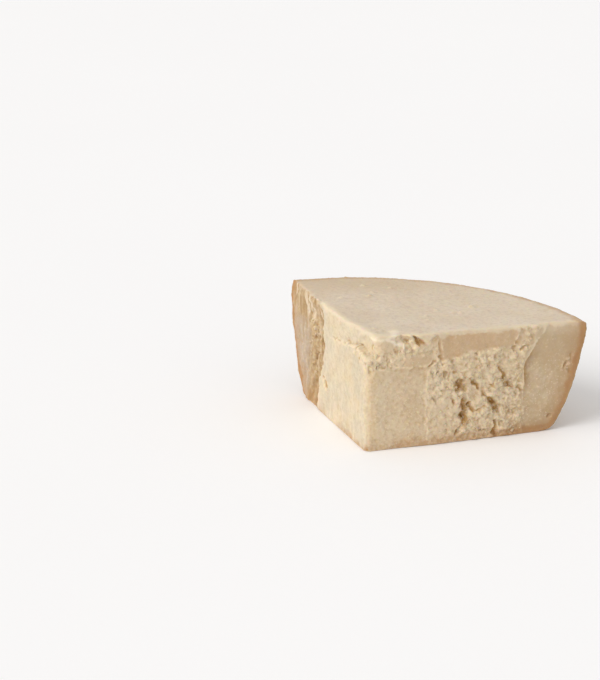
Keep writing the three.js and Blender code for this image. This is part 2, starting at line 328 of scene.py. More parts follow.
# Noise of the finishes: grain in metres, detail and roughness. A tone also has the span that its noise is
# taken through, and may squeeze its pattern each way.
MOTTLE = (0.004, 4, 0.6)
CRUMB_MOTTLE = (0.004, 3, 0.6)
GRAIN = (0.0012, 3, 0.65)
FLOOR_PATCHES = (0.6, 2, 0.5)
SPECK_CELLS = 0.0026
Tone = namedtuple("Tone", "noise span squeeze", defaults=(None,))
PALE_TONE = Tone((0.022, 3, 0.5), (0.35, 0.65, 0, 0.4))
WARM_TONE = Tone((0.025, 2, 0.5), (0.45, 0.7, 0, 0.4))
DRIED_TONE = Tone((0.004, 3, 0.5), (0.35, 0.65, 0.4, 1), (1, 1, 0.2))
GREYED_TONE = Tone((0.005, 3, 0.5), (0.3, 0.6, 0.5, 1), (1, 1, 0.3))
RUNS_TONE = Tone((0.0045, 2, 0.5), (0.5, 0.75, 0, 0.5), (1, 1, 0.12))
CLOUDED_TONE = Tone((0.05, 3, 0.5), (0.35, 0.7, 0, 0.2))
BLOTCHES = Tone((0.03, 5, 0.6), (0.4, 0.7, 0, 0.5))
SCUFFS = Tone((0.012, 6, 0.7), (0.48, 0.68, 0, 0.6))
PORES = Tone((0.0016, 2, 0.5), (0.42, 0.3, 0, 0.5))
STRAY_TONE = Tone((0.012, 3, 0.5), (0.2, 0.8, -3, 3))

# Spans of a finish: the name of a value that the material or the mesh holds, two of its values, and the
# shares that these are taken to, 0 and 1 if none are given. An item may be a name or another span.
FRESH = ("left_break", 0, 1, 1, 0.3)
EVEN = ("from_heel", 25, 75, 0.6, 1)
PALE_BELOW = ("from_base", 55, 80, 1, 0.3)
PALE_MOTTLE = ("mottle", 0.45, 0.65, 0, 0.4)
FEWER_SPECKS = ("left_break", 0, 1, ("left_slab", 0, 1, "raised", 0.5), 0.25)
LOW_RUNS = ("from_base", 45, 8)
HIGH_RUNS = ("from_base", 68, 88, 0, 1.7)
# Painted shade in sunk places: the depth at which it is whole, which differs on the left slab and the left
# break
SUNK_SHADE_WHOLE = ("left_break", 0, 1, ("left_slab", 0, 1, 4.5, 2.2), 7)
SUNK_SHADE = ("sunk", 0.8, SUNK_SHADE_WHOLE, 0, 0.8)
# Browned paste by the heel and by the base, and how far its borders stray
HEEL_STRAY = 0.6
BASE_STRAY = 0.4
HEEL_BAND = ("heel_near", 13, 4, 0, 0.85)
HEEL_WIDE_BAND = ("heel_near", 26, 6, 0, 0.35)
TOP_BAND = ("heel_near", 16, 6, 0, 0.6)
BASE_BAND = ("left_slab", 0, 1, ("inside_heel", 20, 75, 11, 12), 9)
BASE_SOFTNESS = ("inside_heel", 25, 60, 6, 9.5)
BASE_SHARE = 0.8
SLAB_LEAST = ("inside_heel", 95, 140, 0.1, 0.7)
SLAB_MOST = ("inside_heel", 95, 140, 0.5, 1.2)
ON_SLAB = ("stray", 1, -1, SLAB_LEAST, SLAB_MOST)
OFF_SLAB = ("inside_heel", 30, 75, 1, ("inside_heel", 135, 172, 0.62, 0.3))
BROWNED_BASE = ("left_break", 0, 1, ("left_slab", 0, 1, OFF_SLAB, ON_SLAB), 0.3)
BAND_MOTTLE = ("inside_heel", 25, 60, 1, ("mottle", 0.4, 0.6, 1.15, 0.75))
LOW_BROWN = ("base_near", 20, 5, 0, 0.4)
LOW_BROWN_HEEL = ("inside_heel", 60, 15)
# The rind: its thickness, the softness of its border, and its line at the base
RIND_THICK = ("rim", 0, 1, 2.6, 6)
RIND_SOFT = 1.4
BASE_LINE = ("from_base", 0.45, 0.1)
CRUMB_PALE = ("mottle", 0.3, 0.7, 0, 0.7)

# Coats of a finish, each over those before: the name of its colour, and the shares that multiply
PASTE_COATS = (
    ("paste", ("from_heel", 15, 92)),
    ("crumb", ("from_heel", 150, 195, 0, 0.22)),
    ("slab", "left_slab"),
    # Warm patches over the slab, in the colour of the painted light at the tip
    ("lit_edge_and_warm_patch", WARM_TONE, "left_slab"),
    # Painted light on the tip's upright edge
    ("lit_edge_and_warm_patch", "tip_edge", 0.6),
    ("crumb", "crumbly", ("from_heel", 30, 80), 0.45),
    # Paste of the knife's score, with painted shade on the calm patch and the same colour on the shelf
    ("scored_and_shaded", "scored_and_shaded"),
    ("dry_break", DRIED_TONE, "left_break"),
    ("grey_break", GREYED_TONE, "left_rim"),
    ("paste_pale", "pale", EVEN, "raised", FRESH),
    ("paste_dry", ("mottle", 0.5, 0.3, 0, 0.45), EVEN),
    ("whitish", ("cells", 0.3, 0.12, 0, 0.5), FEWER_SPECKS),
    ("whitish", RUNS_TONE, "runs"),
    # Painted highlight: crumb colour on convex lumps and edges, weaker on the left break
    ("crumb", ("crevice", -0.05, -0.35, 0, 0.7), FRESH),
    # Painted shade: dark brown in crevices, in wider hollows, and over sunk places and the painted shadow by
    # the rind mark's border
    ("hollow_shade", ("crevice", 0.05, 0.45, 0, 0.3)),
    ("hollow_shade", ("hollow", 0.8, 2.8, 0, 0.55)),
    ("hollow_shade", SUNK_SHADE, ("mottle", 0.3, 0.6, 0.5, 1)),
)
SKIN_COATS = (
    ("paste_pale", ("mottle", 0.4, 0.65, 0, 0.5)),
    ("paste_dry", ("mottle", 0.5, 0.32, 0, 0.35)),
    ("paste_dry", CLOUDED_TONE),
    ("paste_dry", ("inside_heel", 85, 25, 0.05, 0.5), "far_side"),
)
EDGE_COATS = (
    # Painted highlight: pale paste on convex parts of the top's edges and the ridge
    ("paste_pale", ("hollow", -0.15, -0.6, 0, 0.75), "brow"),
    ("whitish", "chip_rim"),
    ("paste_pale", "upper_rind", 0.45),
    ("under_rind", "browned"),
)
RIND_COATS = (
    ("rind_dark", BLOTCHES),
    ("rind_bloom", SCUFFS),
    ("rind_bloom", ("mottle", 0.4, 0.7, 0, 0.35)),
    ("rind_dark", PORES),
)
CRUMB_COATS = (
    ("paste_pale", CRUMB_PALE),
    ("whitish", "pale"),
)

# Surface of the paste: light that spreads under it, in metres on the chunk and on crumbs, then gloss and bump
PASTE_GLOW = 0.0014
CRUMB_GLOW = 0.0006
GLOW_SHARE = 0.6
GLOW_COLOURS = (1.0, 0.6, 0.25)
PASTE_SPECULAR = 0.25
PASTE_ROUGH = ("grain", 0.3, 0.7, 0.5, 0.7)
MOTTLE_BUMP = 0.6
BUMP_STRENGTH = 0.5
BUMP_HEIGHT = 0.0006
FLOOR_PALER = 1.02
FLOOR_ROUGH = 0.8


def length_field(name, description, default):
    return FloatProperty(name=name, description=description, default=default, unit="LENGTH")


def count_field(name, description, default):
    return IntProperty(name=name, description=description, default=default)


def strength_field(name, description, default):
    return FloatProperty(name=name, description=description, default=default)


def angle_field(name, description, degrees):
    return FloatProperty(name=name, description=description, default=math.radians(degrees), subtype="ANGLE")


def colour_field(name, description, default):
    return FloatVectorProperty(name=name, description=description, default=default, subtype="COLOR", size=3)


class WheelSizes(bpy.types.PropertyGroup):
    """Sizes of the wheel that the chunk came from, and of its top cut."""

    radius: length_field("Wheel radius", "Radius at the wheel's mid height", 0.2035)
    axis_x: length_field("Axis X", "Wheel's axis from the tip along the front side", 0.012)
    axis_y: length_field("Axis Y", "Wheel's axis from the tip along the left side", -0.002)
    cut_height: length_field("Cut height", "Base to top cut at the tip", CUT_UP * MM)
    top_fall: length_field("Top fall", "Fall of the cut over a wheel radius along X", 0.0048)
    top_rise: length_field("Top rise", "Rise of the cut over a wheel radius along Y", 0.0014)
    tip_droop: length_field("Tip droop", "How far the tip has sunk", 0.0025)
    droop_reach: length_field("Droop reach", "How far back from the tip that shows", 0.022)
    foot_radius: length_field("Foot radius", "Where the heel meets its rounded lower edge", 0.1775)
    foot_height: length_field("Foot height", "Height of the rounded lower edge", 0.012)
    belly_height: length_field("Belly height", "Above this the heel swells little", 0.066)
    edge_radius: length_field("Edge radius", "Where heel and base would meet sharply", 0.1725)
    flat_radius: length_field("Flat radius", "Radius of the flat base", 0.16)
    heel_facets: count_field("Heel facets", "Facets in a whole turn of the wheel", 256)
    tip_round: length_field("Tip rounding", "Rounding of the tip's upright edge", 0.006)
    rim_round: length_field("Rim rounding", "Rounding where the heel meets the top", 0.0075)
    edge_wear: length_field("Edge wear", "Rounding of the other edges", 0.0022)


class BladeSizes(bpy.types.PropertyGroup):
    """Sizes of the marks that knives and wedging blades left on the two sides."""

    tip_panel_end: length_field("Tip panel end", "Length of the blade's mark at the tip", 0.058)
    tip_panel_top: length_field("Tip panel top", "Height of the blade's mark at the tip", 0.075)
    rind_panel_start: length_field("Rind panel start", "Where the blade's mark by the rind starts", 0.153)
    rind_panel_shoulder: length_field(
        "Rind panel shoulder", "Above this that mark's edge leans to the rind", 0.068)
    rind_panel_lean: length_field("Rind panel lean", "How far its edge leans by the top", 0.027)
    panel_depth: length_field("Panel depth", "Depth of the blades' marks", 0.0026)
    border_depth: length_field("Border depth", "Further depth at the border of the mark by the rind", 0.0025)
    score_start: length_field("Score start", "Where the front score starts", 0.067)
    score_end: length_field("Score end", "Where the front score ends", 0.149)
    score_floor: length_field("Score floor", "Height of the front score's lip", 0.085)
    score_depth: length_field("Score depth", "Depth of the front score", 0.001)
    facet_end: length_field("Facet end", "Length of the leaning facet above the tip's mark", 0.062)
    facet_depth: length_field("Facet depth", "How far that facet leans in by the top", 0.002)
    left_score_depth: length_field("Left score depth", "Depth of the left score at the tip", 0.0095)
    left_score_reach: length_field("Left score reach", "Where the left score runs out", 0.07)
    slab_end: length_field("Slab end", "Length of the smooth slab on the left side", 0.117)
    slab_wander: length_field("Slab wander", "How far the slab's end strays", 0.011)
    break_depth: length_field("Break depth", "Depth of the break next to the slab", 0.0045)
    rind_flare: length_field("Rind flare", "How far the rind stands out beyond the left side", 0.001)


class BreakSizes(bpy.types.PropertyGroup):
    """Sizes of the broken relief, of the mesh that carries it, and of the crumbs."""

    crag_depth: length_field("Crag depth", "Relief of the large crags", 0.005)
    clod_depth: length_field("Clod depth", "Relief of the clods", 0.0021)
    lump_depth: length_field("Lump depth", "Relief of the soft lumps", 0.0032)
    crumb_depth: length_field("Crumb depth", "Relief of the crumbs that are part of the side", 0.0015)
    grain_depth: length_field("Grain depth", "Relief of the grain", 0.0007)
    streak_depth: length_field("Streak depth", "Relief of the upright streaks of the left break", 0.0043)
    pits: count_field("Pits", "Small hollows drawn over the broken front", 5)
    streak_pits: count_field("Streak pits", "Tall hollows drawn over the left break", 12)
    crumbs: count_field("Crumbs", "Crumbs that cling to the broken sides", 700)
    crumb_size: length_field("Crumb size", "Usual half width of a crumb", 0.0008)
    seed: count_field("Seed", "Seed of every random draw", 7)
    coarse_voxel: length_field("Coarse voxel", "Spacing of the mesh that takes the crags", 0.0009)
    fine_voxel: length_field("Fine voxel", "Spacing of the mesh that takes the grain", 0.00062)
    triangles: count_field("Triangles", "Triangles kept in the finished chunk", 192000)


class CheeseColours(bpy.types.PropertyGroup):
    """Colours of the paste and the rind."""

    paste: colour_field("Paste", "Paste well inside the wheel", (0.651, 0.502, 0.330))
    paste_dry: colour_field("Dry paste", "Paste in the outer part of the wheel", (0.535, 0.395, 0.244))
    paste_pale: colour_field("Pale paste", "Pale patches, grains and edges", (0.735, 0.623, 0.456))
    # Crumb is also the painted highlight on convex lumps and edges of the break
    crumb: colour_field("Crumb", "Fresh crumbs and edges of the front break", (0.80, 0.663, 0.465))
    hollow_shade: colour_field("Deep paste", "Paste down in the hollows", (0.485, 0.262, 0.066))
    # Painted shade: the dark brown laid into crevices, hollows and sunk places
    slab: colour_field("Slab", "Paste of the smooth slab on the left side", (0.605, 0.516, 0.374))
    # Painted light on the tip's upright edge, for light that shines through the paste there; also warm
    # patches over the slab
    lit_edge_and_warm_patch: colour_field("Lit edge", "Paste that light shines through at the tip", (0.75, 0.55, 0.30))
    # Also painted shade on the calm patch, and the colour of the smooth shelf
    scored_and_shaded: colour_field("Scored paste", "Paste that the knife scored", (0.605, 0.427, 0.259))
    whitish: colour_field("Whitish", "Pale streaks and flakes", (0.83, 0.72, 0.565))
    dry_break: colour_field("Dry break", "Browned paste of the left break", (0.398, 0.259, 0.119))
    grey_break: colour_field(
        "Grey break", "Dried paste between the left break and the rind", (0.493, 0.391, 0.298))
    cut_top: colour_field("Cut top", "Dry skin of the wire-cut top", (0.684, 0.580, 0.466))
    under_rind: colour_field("Under rind", "Browned paste next to the rind", (0.442, 0.23, 0.09))
    rind: colour_field("Rind", "Outside of the rind", (0.465, 0.298, 0.140))
    rind_dark: colour_field("Dark rind", "Blotches and freckles of the rind", (0.344, 0.186, 0.074))
    rind_bloom: colour_field("Rind bloom", "Pale scuffs of the rind", (0.558, 0.400, 0.233))


class StudioLook(bpy.types.PropertyGroup):
    """Floor, light and camera."""

    floor_size: length_field("Floor size", "Side of the floor", 14.0)
    floor_shade: colour_field("Floor shade", "Colour of the floor", (0.95, 0.955, 0.975))
    sky_shade: colour_field("Sky shade", "Colour of the light from all round", (1.0, 0.985, 0.96))
    sky_strength: strength_field("Sky strength", "Light from all round", 0.67)
    key_from: FloatVectorProperty(
        name="Key from", description="Where the main light comes from", subtype="DIRECTION", size=3,
        default=(-0.78, -0.17, 0.60))
    key_shade: colour_field("Key shade", "Colour of the main light", (1.0, 0.975, 0.945))
    key_strength: strength_field("Key strength", "Strength of the main light", 1.72)
    key_spread: angle_field("Key spread", "How wide the main light looks from the chunk", 42)
    camera_place: FloatVectorProperty(
        name="Camera place", description="Camera from the tip's foot", subtype="TRANSLATION", unit="LENGTH",
        size=3, default=(-0.6695, -1.7127, 0.6843))
    camera_turn: angle_field("Camera turn", "Turn of the view from +Y towards +X", 19.522)
    camera_dip: angle_field("Camera dip", "How far the camera looks down", 17.469)


def in_millimetres(sizes):
    """The lengths of a group, in millimetres."""
    return SimpleNamespace(**{name: getattr(sizes, name) / MM for name in type(sizes).__annotations__})


def only(piece):
    """Makes a piece the one that is selected and active."""
    bpy.ops.object.select_all(action="DESELECT")
    piece.select_set(True)
    bpy.context.view_layer.objects.active = piece


def edit(piece):
    """Opens a piece in edit mode with all of it selected."""
    only(piece)
    bpy.ops.object.mode_set(mode="EDIT")
    bpy.ops.mesh.select_all(action="SELECT")


def leave_edit():
    bpy.ops.object.mode_set(mode="OBJECT")


def modify(piece, kind, **settings):
    """Gives a piece a modifier with the given settings, and applies it."""
    modifier = piece.modifiers.new(kind.title(), kind)
    for name, value in settings.items():
        setattr(modifier, name, value)
    only(piece)
    bpy.ops.object.modifier_apply(modifier=modifier.name)


def vertex_vectors(mesh, field):
    """A vector of each vertex, such as its place."""
    vectors = np.empty(len(mesh.vertices) * 3, np.float32)
    mesh.vertices.foreach_get(field, vectors)
    return vectors.reshape(-1, 3).astype(float)


def vertex_places(mesh):
    return vertex_vectors(mesh, "co")


def vertex_normals(mesh):
    return vertex_vectors(mesh, "normal")


def fade(value, zero, full, most=1.0):
    """0 on one side of a ramp and the most on the other, with a smooth way between."""
    share = np.clip((value - zero) / (full - zero), 0.0, 1.0)
    return most * (share * share * (3.0 - 2.0 * share))


def within(places, region):
    """How far places lie in a region: the product of its ramps."""
    share = 1.0
    for row in region:
        ramp = Ramp(*row)
        value = getattr(places, ramp.coordinate)
        if ramp.middle is not None:
            value = np.abs(value - ramp.middle)
        share = share * fade(value, ramp.zero, ramp.full, ramp.most)
    return share


def bell(a, b, middle_a, middle_b, radius, most=1.0):
    """The most at the middle of a round spot, falling softly to 0 outside it."""
    return most * np.exp(-((a - middle_a) ** 2 + (b - middle_b) ** 2) / radius ** 2)


def wander(a, b, length, seed):
    """Smooth noise between -1 and 1 over a plane, with waves of the given length."""
    lattice = np.random.default_rng(seed).uniform(-1, 1, (WAVE_LATTICE, WAVE_LATTICE))
    a, b = np.broadcast_arrays(np.asarray(a, float) / length, np.asarray(b, float) / length)
    cell_a, cell_b = np.floor(a).astype(int), np.floor(b).astype(int)
    share_a, share_b = fade(a - cell_a, 0, 1), fade(b - cell_b, 0, 1)
    total = 0.0
    for step_a, step_b in itertools.product((0, 1), repeat=2):
        weight_a = share_a if step_a else 1 - share_a
        weight_b = share_b if step_b else 1 - share_b
        corner = lattice[(cell_a + step_a) % WAVE_LATTICE, (cell_b + step_b) % WAVE_LATTICE]
        total = total + weight_a * weight_b * corner
    return total


def ragged(waves, a, b=0):
    """The sum of some waves, along a line or over a plane."""
    return sum(far * wander(a, b, length, seed) for far, length, seed in waves)


def patchy(patches, a, b=0):
    """The share of some patches, along a line or over a plane."""
    length, seed, ramp = patches
    return fade(wander(a, b, length, seed), *ramp)


def curve_points(start, control, end, steps):
    """Points on a quadratic curve, without its first one."""
    points = []
    for step in range(1, steps + 1):
        t = step / steps
        points.append(tuple(
            (1 - t) ** 2 * a + 2 * t * (1 - t) * b + t * t * c for a, b, c in zip(start, control, end)))
    return points


def heel_profile(wheel):
    """Radius and height of the wheel's outside, from the edge of the flat base to over the top cut."""
    flat = (wheel.flat_radius, 0.0)
    foot = (wheel.foot_radius, wheel.foot_height)
    brim = (wheel.radius, wheel.cut_height)
    above = (wheel.radius, wheel.cut_height * PAST_CUT)
    corner = curve_points(flat, (wheel.edge_radius, 0.0), foot, CORNER_STEPS)
    heel = curve_points(foot, (wheel.radius, wheel.belly_height), brim, HEEL_STEPS)
    return [flat, *corner, *heel, above]


def top_height(x, y, wheel):
    """Height of the top cut over a place, in millimetres, without the droop of the tip."""
    return wheel.cut_height / MM - (wheel.top_fall * x - wheel.top_rise * y) / wheel.radius


def turn_wheel(wheel):
    """The wheel's lower half, drawn up from its flat base."""
    axis = TIP_FOOT + Vector((wheel.axis_x, wheel.axis_y, 0.0))
    profile = heel_profile(wheel)
    bpy.ops.object.select_all(action="DESELECT")
    bpy.ops.mesh.primitive_circle_add(
        vertices=wheel.heel_facets, radius=profile[0][0], fill_type="NGON", location=axis)
    chunk = bpy.context.object
    chunk.name = "chunk"
    bpy.ops.object.transform_apply(location=True)
    edit(chunk)
    for (radius, height), (next_radius, next_height) in zip(profile, profile[1:]):
        bpy.ops.mesh.extrude_region_move(TRANSFORM_OT_translate={"value": (0, 0, next_height - height)})
        growth = next_radius / radius
        bpy.ops.transform.resize(value=(growth, growth, 1), center_override=(axis.x, axis.y, next_height))
    bpy.ops.mesh.select_all(action="SELECT")
    bpy.ops.mesh.normals_make_consistent(inside=False)
    leave_edit()
    return chunk


def model_wedge(wheel):
    """Cuts the two sides, the top and the drooping tip of the chunk from the wheel, and wears the edges."""
    chunk = turn_wheel(wheel)
    top_normal = Vector((wheel.top_fall, -wheel.top_rise, wheel.radius)).normalized()
    droop_slope = wheel.tip_droop / wheel.droop_reach
    droop_normal = Vector((-droop_slope, -droop_slope, 1)).normalized()
    cuts = (
        (TIP_FOOT, (0, -1, 0)),
        (TIP_FOOT, (-1, 0, 0)),
        (TIP_FOOT + Vector((0, 0, wheel.cut_height)), top_normal),
        (TIP_FOOT + Vector((0, 0, wheel.cut_height - wheel.tip_droop)), droop_normal),
    )
    edit(chunk)
    for place, normal in cuts:
        bpy.ops.mesh.select_all(action="SELECT")
        bpy.ops.mesh.bisect(plane_co=place, plane_no=normal, use_fill=True, clear_outer=True)
    leave_edit()
    round_rim(chunk, wheel)
    wear = {"width": wheel.edge_wear, "segments": WEAR_STEPS}
    modify(chunk, "BEVEL", **wear, limit_method="ANGLE", angle_limit=WEAR_ANGLE)
    return chunk


def round_rim(chunk, wheel):
    """Rounds the edge where the heel meets the top cut."""
    edit(chunk)
    bpy.ops.mesh.select_all(action="DESELECT")
    leave_edit()
    mesh = chunk.data
    x, y, z = (vertex_places(mesh) - np.array(TIP_FOOT)).T
    from_axis = np.hypot(x - wheel.axis_x, y - wheel.axis_y)
    on_rim = (from_axis > wheel.radius - MM) & (z > wheel.cut_height - wheel.top_fall - MM)
    for line in mesh.edges:
        line.select = all(on_rim[end] for end in line.vertices)
    bpy.ops.object.mode_set(mode="EDIT")
    bpy.ops.mesh.select_mode(type="EDGE")
    bpy.ops.mesh.bevel(offset=wheel.rim_round, segments=RIM_STEPS, affect="EDGES")
    leave_edit()


def block(low, high, bend):
    """A cutting block between two corners, in millimetres from the tip's foot.

    The bend moves its vertices: it takes their places, with x, y and z, and gives the new coordinates.
    """
    low, high = Vector(low), Vector(high)
    bpy.ops.object.select_all(action="DESELECT")
    bpy.ops.mesh.primitive_cube_add(size=1, location=(low + high) / 2, scale=high - low)
    cutter = bpy.context.object
    bpy.ops.object.transform_apply(location=True, scale=True)
    edit(cutter)
    bpy.ops.mesh.subdivide(number_cuts=CUTTER_CUTS)
    leave_edit()
    at = SimpleNamespace(**dict(zip("xyz", vertex_places(cutter.data).T)))
    bent = np.column_stack(bend(at)) * MM + np.array(TIP_FOOT)
    cutter.data.vertices.foreach_set("co", bent.ravel())
    return cutter


def combine(chunk, tool, operation):
    """Cuts a tool's shape out of the chunk or joins it on, and takes the tool off the scene."""
    only(tool)
    bpy.ops.object.transform_apply(location=True, rotation=True, scale=True)
    modify(chunk, "BOOLEAN", object=tool, operation=operation, solver="MANIFOLD")
    bpy.data.objects.remove(tool)


def slab_edge(up, blades):
    """Where the left side's slab ends at a height, in millimetres along the side."""
    stray = np.interp(up, SLAB_UP, SLAB_STRAY)
    return blades.slab_end + blades.slab_wander * stray + ragged(SLAB_WAVES, up)


def left_lip(along):
    """Height of the left score's lip, in millimetres."""
    return np.interp(along, LIP_ALONG, LIP_UP) + ragged(LEFT_LIP_WAVES, along)


def front_lip(along, blades):
    """Height of the front score's lip, in millimetres. It sags towards the tip."""
    return blades.score_floor - fade(along, *FRONT_LIP_SAG) + ragged(FRONT_LIP_WAVES, along)


def rind_panel_edge(up, blades):
    """Where the blade's mark by the rind starts at a height, in millimetres along the side."""
    shoulder = blades.rind_panel_shoulder
    rise = np.clip(up - shoulder, 0, None) / (CUT_UP - shoulder)
    return blades.rind_panel_start + blades.rind_panel_lean * rise + ragged(RIND_MARK_WAVES, up)


def rounding(inside, radius):
    """How far a rounded edge of the given radius stands back, at a way inside its start."""
    reach = np.clip(inside, 0, radius)
    return radius - np.sqrt(radius ** 2 - reach ** 2)


class BladeMarks:
    """The marks that knives and wedging blades left on both sides, each the bend of a cutting block."""

    def __init__(self, wheel, blades):
        self.blades = blades
        self.panel = blades.panel_depth
        self.corner = wheel.tip_round / MM
        self.top = wheel.cut_height / MM
        self.over = self.top + CUTTER_OUT
        self.far = (wheel.radius + wheel.axis_x) / MM + CUTTER_OUT

    def tip_panel(self, at):
        end, top = self.blades.tip_panel_end, self.blades.tip_panel_top
        rise = (TIP_MARK_RISE + within(at, TIP_MARK_LOW)) * fade(at.x, TIP_MARK_RISE_START, end)
        bent_x = at.x + ragged(TIP_MARK_END_WAVES, at.z) * fade(at.x, 0, end)
        bent_z = at.z + ragged(TIP_MARK_TOP_WAVES, at.x) * fade(at.z, 0, top)
        return bent_x, np.where(at.y > 0, self.panel - rise, at.y), bent_z

    def tip_corner(self, at):
        rounded = rounding(self.panel + self.corner - at.y, self.corner)
        return np.where(at.x > 0, rounded, at.x), at.y, at.z

    def rind_panel(self, at):
        shallower = (1 - within(at, RIND_MARK_FAR)) * (1 - within(at, RIND_MARK_HIGH))
        depth = (self.panel - within(at, RIND_MARK_LOW)) * shallower
        depth = depth + self.blades.border_depth * within(at, RIND_MARK_BORDER)
        moved = rind_panel_edge(at.z, self.blades) - self.blades.rind_panel_start
        bent_x = at.x + moved * fade(at.x, self.far, self.far - RIND_MARK_REACH)
        return bent_x, np.where(at.y > 0, depth, at.y), at.z

    def bent_foot(self, at, lip):
        """Heights of a block whose lower end follows a lip."""
        return at.z + lip * fade(at.z, self.over, self.over - CUTTER_OUT)

    def score(self, at):
        start, end = self.blades.score_start, self.blades.score_end
        whole = fade(at.x, start, start + SCORE_RUN_IN) * fade(at.x, end, end - SCORE_RUN_OUT)
        depth = (self.blades.score_depth + SCORE_OUTSIDE) * whole - SCORE_OUTSIDE
        lip = front_lip(at.x, self.blades) - self.blades.score_floor
        return at.x, np.where(at.y > 0, depth, at.y), self.bent_foot(at, lip)

    def facet(self, at):
        lean = np.interp(at.z, (self.blades.tip_panel_top, FACET_MIDDLE, self.top), FACET_LEAN)
        depth = self.panel + self.blades.facet_depth * lean
        depth = depth * fade(at.x, self.blades.tip_panel_end, FACET_WHOLE) - FACET_OUTSIDE
        return at.x, np.where(at.y > 0, depth, at.y), at.z

    def left_score(self, at):
        rounded = rounding(self.panel + UPPER_TIP_IN + UPPER_TIP_ROUND - at.y, UPPER_TIP_ROUND)
        whole = fade(at.y, self.blades.left_score_reach, LEFT_SCORE_WHOLE)
        depth = self.blades.left_score_depth * whole + LEFT_SCORE_LEAST + rounded
        return np.where(at.x > 0, depth, at.x), at.y, self.bent_foot(at, left_lip(at.y) - LIP_UP[0])

    def gap(self, at):
        depth = self.blades.break_depth * within(at, GAP) + GAP_LEAST
        edge = slab_edge(at.z, self.blades) - self.blades.slab_end
        bent_y = at.y + edge * fade(at.y, self.far, self.blades.slab_end)
        return np.where(at.x > 0, depth, at.x), bent_y, at.z

    def cut(self, chunk):
        """Cuts every mark out of the chunk."""
        blades, panel, over, out = self.blades, self.panel, self.over, CUTTER_OUT
        cutters = (
            ((-out, -out, -out), (blades.tip_panel_end, panel, blades.tip_panel_top), self.tip_panel),
            ((-out, -out, -out), (self.corner, panel + self.corner, over), self.tip_corner),
            ((blades.rind_panel_start, -out, -out), (self.far, panel, over), self.rind_panel),
            ((blades.score_start, -out, blades.score_floor), (blades.score_end, blades.score_depth, over),
             self.score),
            ((-out, -out, blades.tip_panel_top), (blades.facet_end, panel, over), self.facet),
            ((-out, -out, LIP_UP[0]), (panel, blades.slab_end, over), self.left_score),
            ((-out, blades.slab_end, -out), (panel, self.far, over), self.gap),
        )
        for low, high, bend in cutters:
            combine(chunk, block(low, high, bend), "DIFFERENCE")


def uneven_ball(fineness, radius, place, unevenness, seed):
    """A ball with its vertices moved at random."""
    bpy.ops.object.select_all(action="DESELECT")
    bpy.ops.mesh.primitive_ico_sphere_add(subdivisions=fineness, radius=radius, location=place)
    ball = bpy.context.object
    edit(ball)
    bpy.ops.transform.vertex_random(offset=unevenness, uniform=1.0, normal=0.0, seed=seed)
    leave_edit()
    return ball


def add_clod(chunk, seed):
    """Joins on the clod that stands out at the front's foot."""
    clod = uneven_ball(CLOD_FINENESS, 0.5, Vector(CLOD_PLACE) * MM + TIP_FOOT, CLOD_UNEVEN, seed)
    clod.scale = Vector(CLOD_SIZE) * MM
    combine(chunk, clod, "UNION")


class Sides:
    """Coordinates of each vertex, in millimetres from the tip's foot, and how far it belongs to each face."""

    def __init__(self, chunk, wheel, blades):
        self.x, self.y, self.z = (vertex_places(chunk.data) - np.array(TIP_FOOT)).T / MM
        self.facing_up = vertex_normals(chunk.data)[:, 2]
        self.apart = self.x - self.y
        self.leaning_y = self.y + LEANING_Y * self.z
        self.below_top = top_height(self.x, self.y, wheel) - self.z
        self.past_tip_mark = self.x - blades.tip_panel_end
        self.over_tip_mark = self.z - blades.tip_panel_top
        self.into_rind_mark = self.x - rind_panel_edge(self.z, blades)
        self.over_front_lip = self.z - front_lip(self.x, blades)
        self.over_left_lip = self.z - left_lip(self.y)
        self.past_slab = self.y - slab_edge(self.z, blades)
        self.inside_chip = inside_chip(self.x, self.z)
        heights, radii = np.array([(height, radius) for radius, height in heel_profile(wheel)]).T / MM
        from_axis = np.hypot(self.x - wheel.axis_x / MM, self.y - wheel.axis_y / MM)
        self.from_heel = np.interp(self.z, heights, radii) - from_axis
        self.top = within(self, TOP_SKIN)
        self.base = within(self, BASE_SKIN)
        open_side = (1 - self.top) * (1 - self.base) * within(self, INSIDE_RIND)
        nearer_front = within(self, NEARER_FRONT)
        self.front = within(self, FRONT_REACH) * nearer_front * open_side
        self.left = within(self, LEFT_REACH) * (1 - nearer_front) * open_side


def inside_chip(along, up):
    """How far inside the chip of the front's top edge a place lies, in millimetres. Outside it is below 0."""
    half = np.interp(along, CHIP_ALONG, CHIP_HALF)
    middle = np.interp(along, CHIP_ALONG, CHIP_UP)
    return half - np.abs(up - middle) + ragged(CHIP_WAVES, along, up)


def drawn_hollows(breaks):
    """Smaller hollows drawn over the broken parts of the front and of the left side."""
    draw = np.random.default_rng(breaks.seed)
    return [
        [Hollow(*(draw.uniform(*limits) for limits in ranges)) for _ in range(count)]
        for ranges, count in ((FRONT_PITS, breaks.pits), (LEFT_PITS, breaks.streak_pits))]


def sunk(along, up, hollows):
    """How deep places on a side lie in hollows, in millimetres.

    A hollow is steep on the side towards the tip and runs out gently on the other. Noise bends its outline.
    """
    bent_along = along + ragged(HOLLOW_WAVES_ALONG, along, up)
    bent_up = up + ragged(HOLLOW_WAVES_UP, along, up)
    depth = np.zeros(len(along))
    for hollow in hollows:
        lean = math.radians(hollow.lean)
        aside, above = bent_along - hollow.along, bent_up - hollow.up
        across = (aside * math.cos(lean) + above * math.sin(lean)) / hollow.wide
        lengthwise = (above * math.cos(lean) - aside * math.sin(lean)) / hollow.tall
        walls = fade(across, *HOLLOW_STEEP) * fade(across, *HOLLOW_GENTLE)
        depth = np.maximum(depth, hollow.deep * walls * fade(np.abs(lengthwise), *HOLLOW_ENDS))
    return depth * (HOLLOW_DEPTH + ragged(HOLLOW_DEPTH_WAVES, along, up))


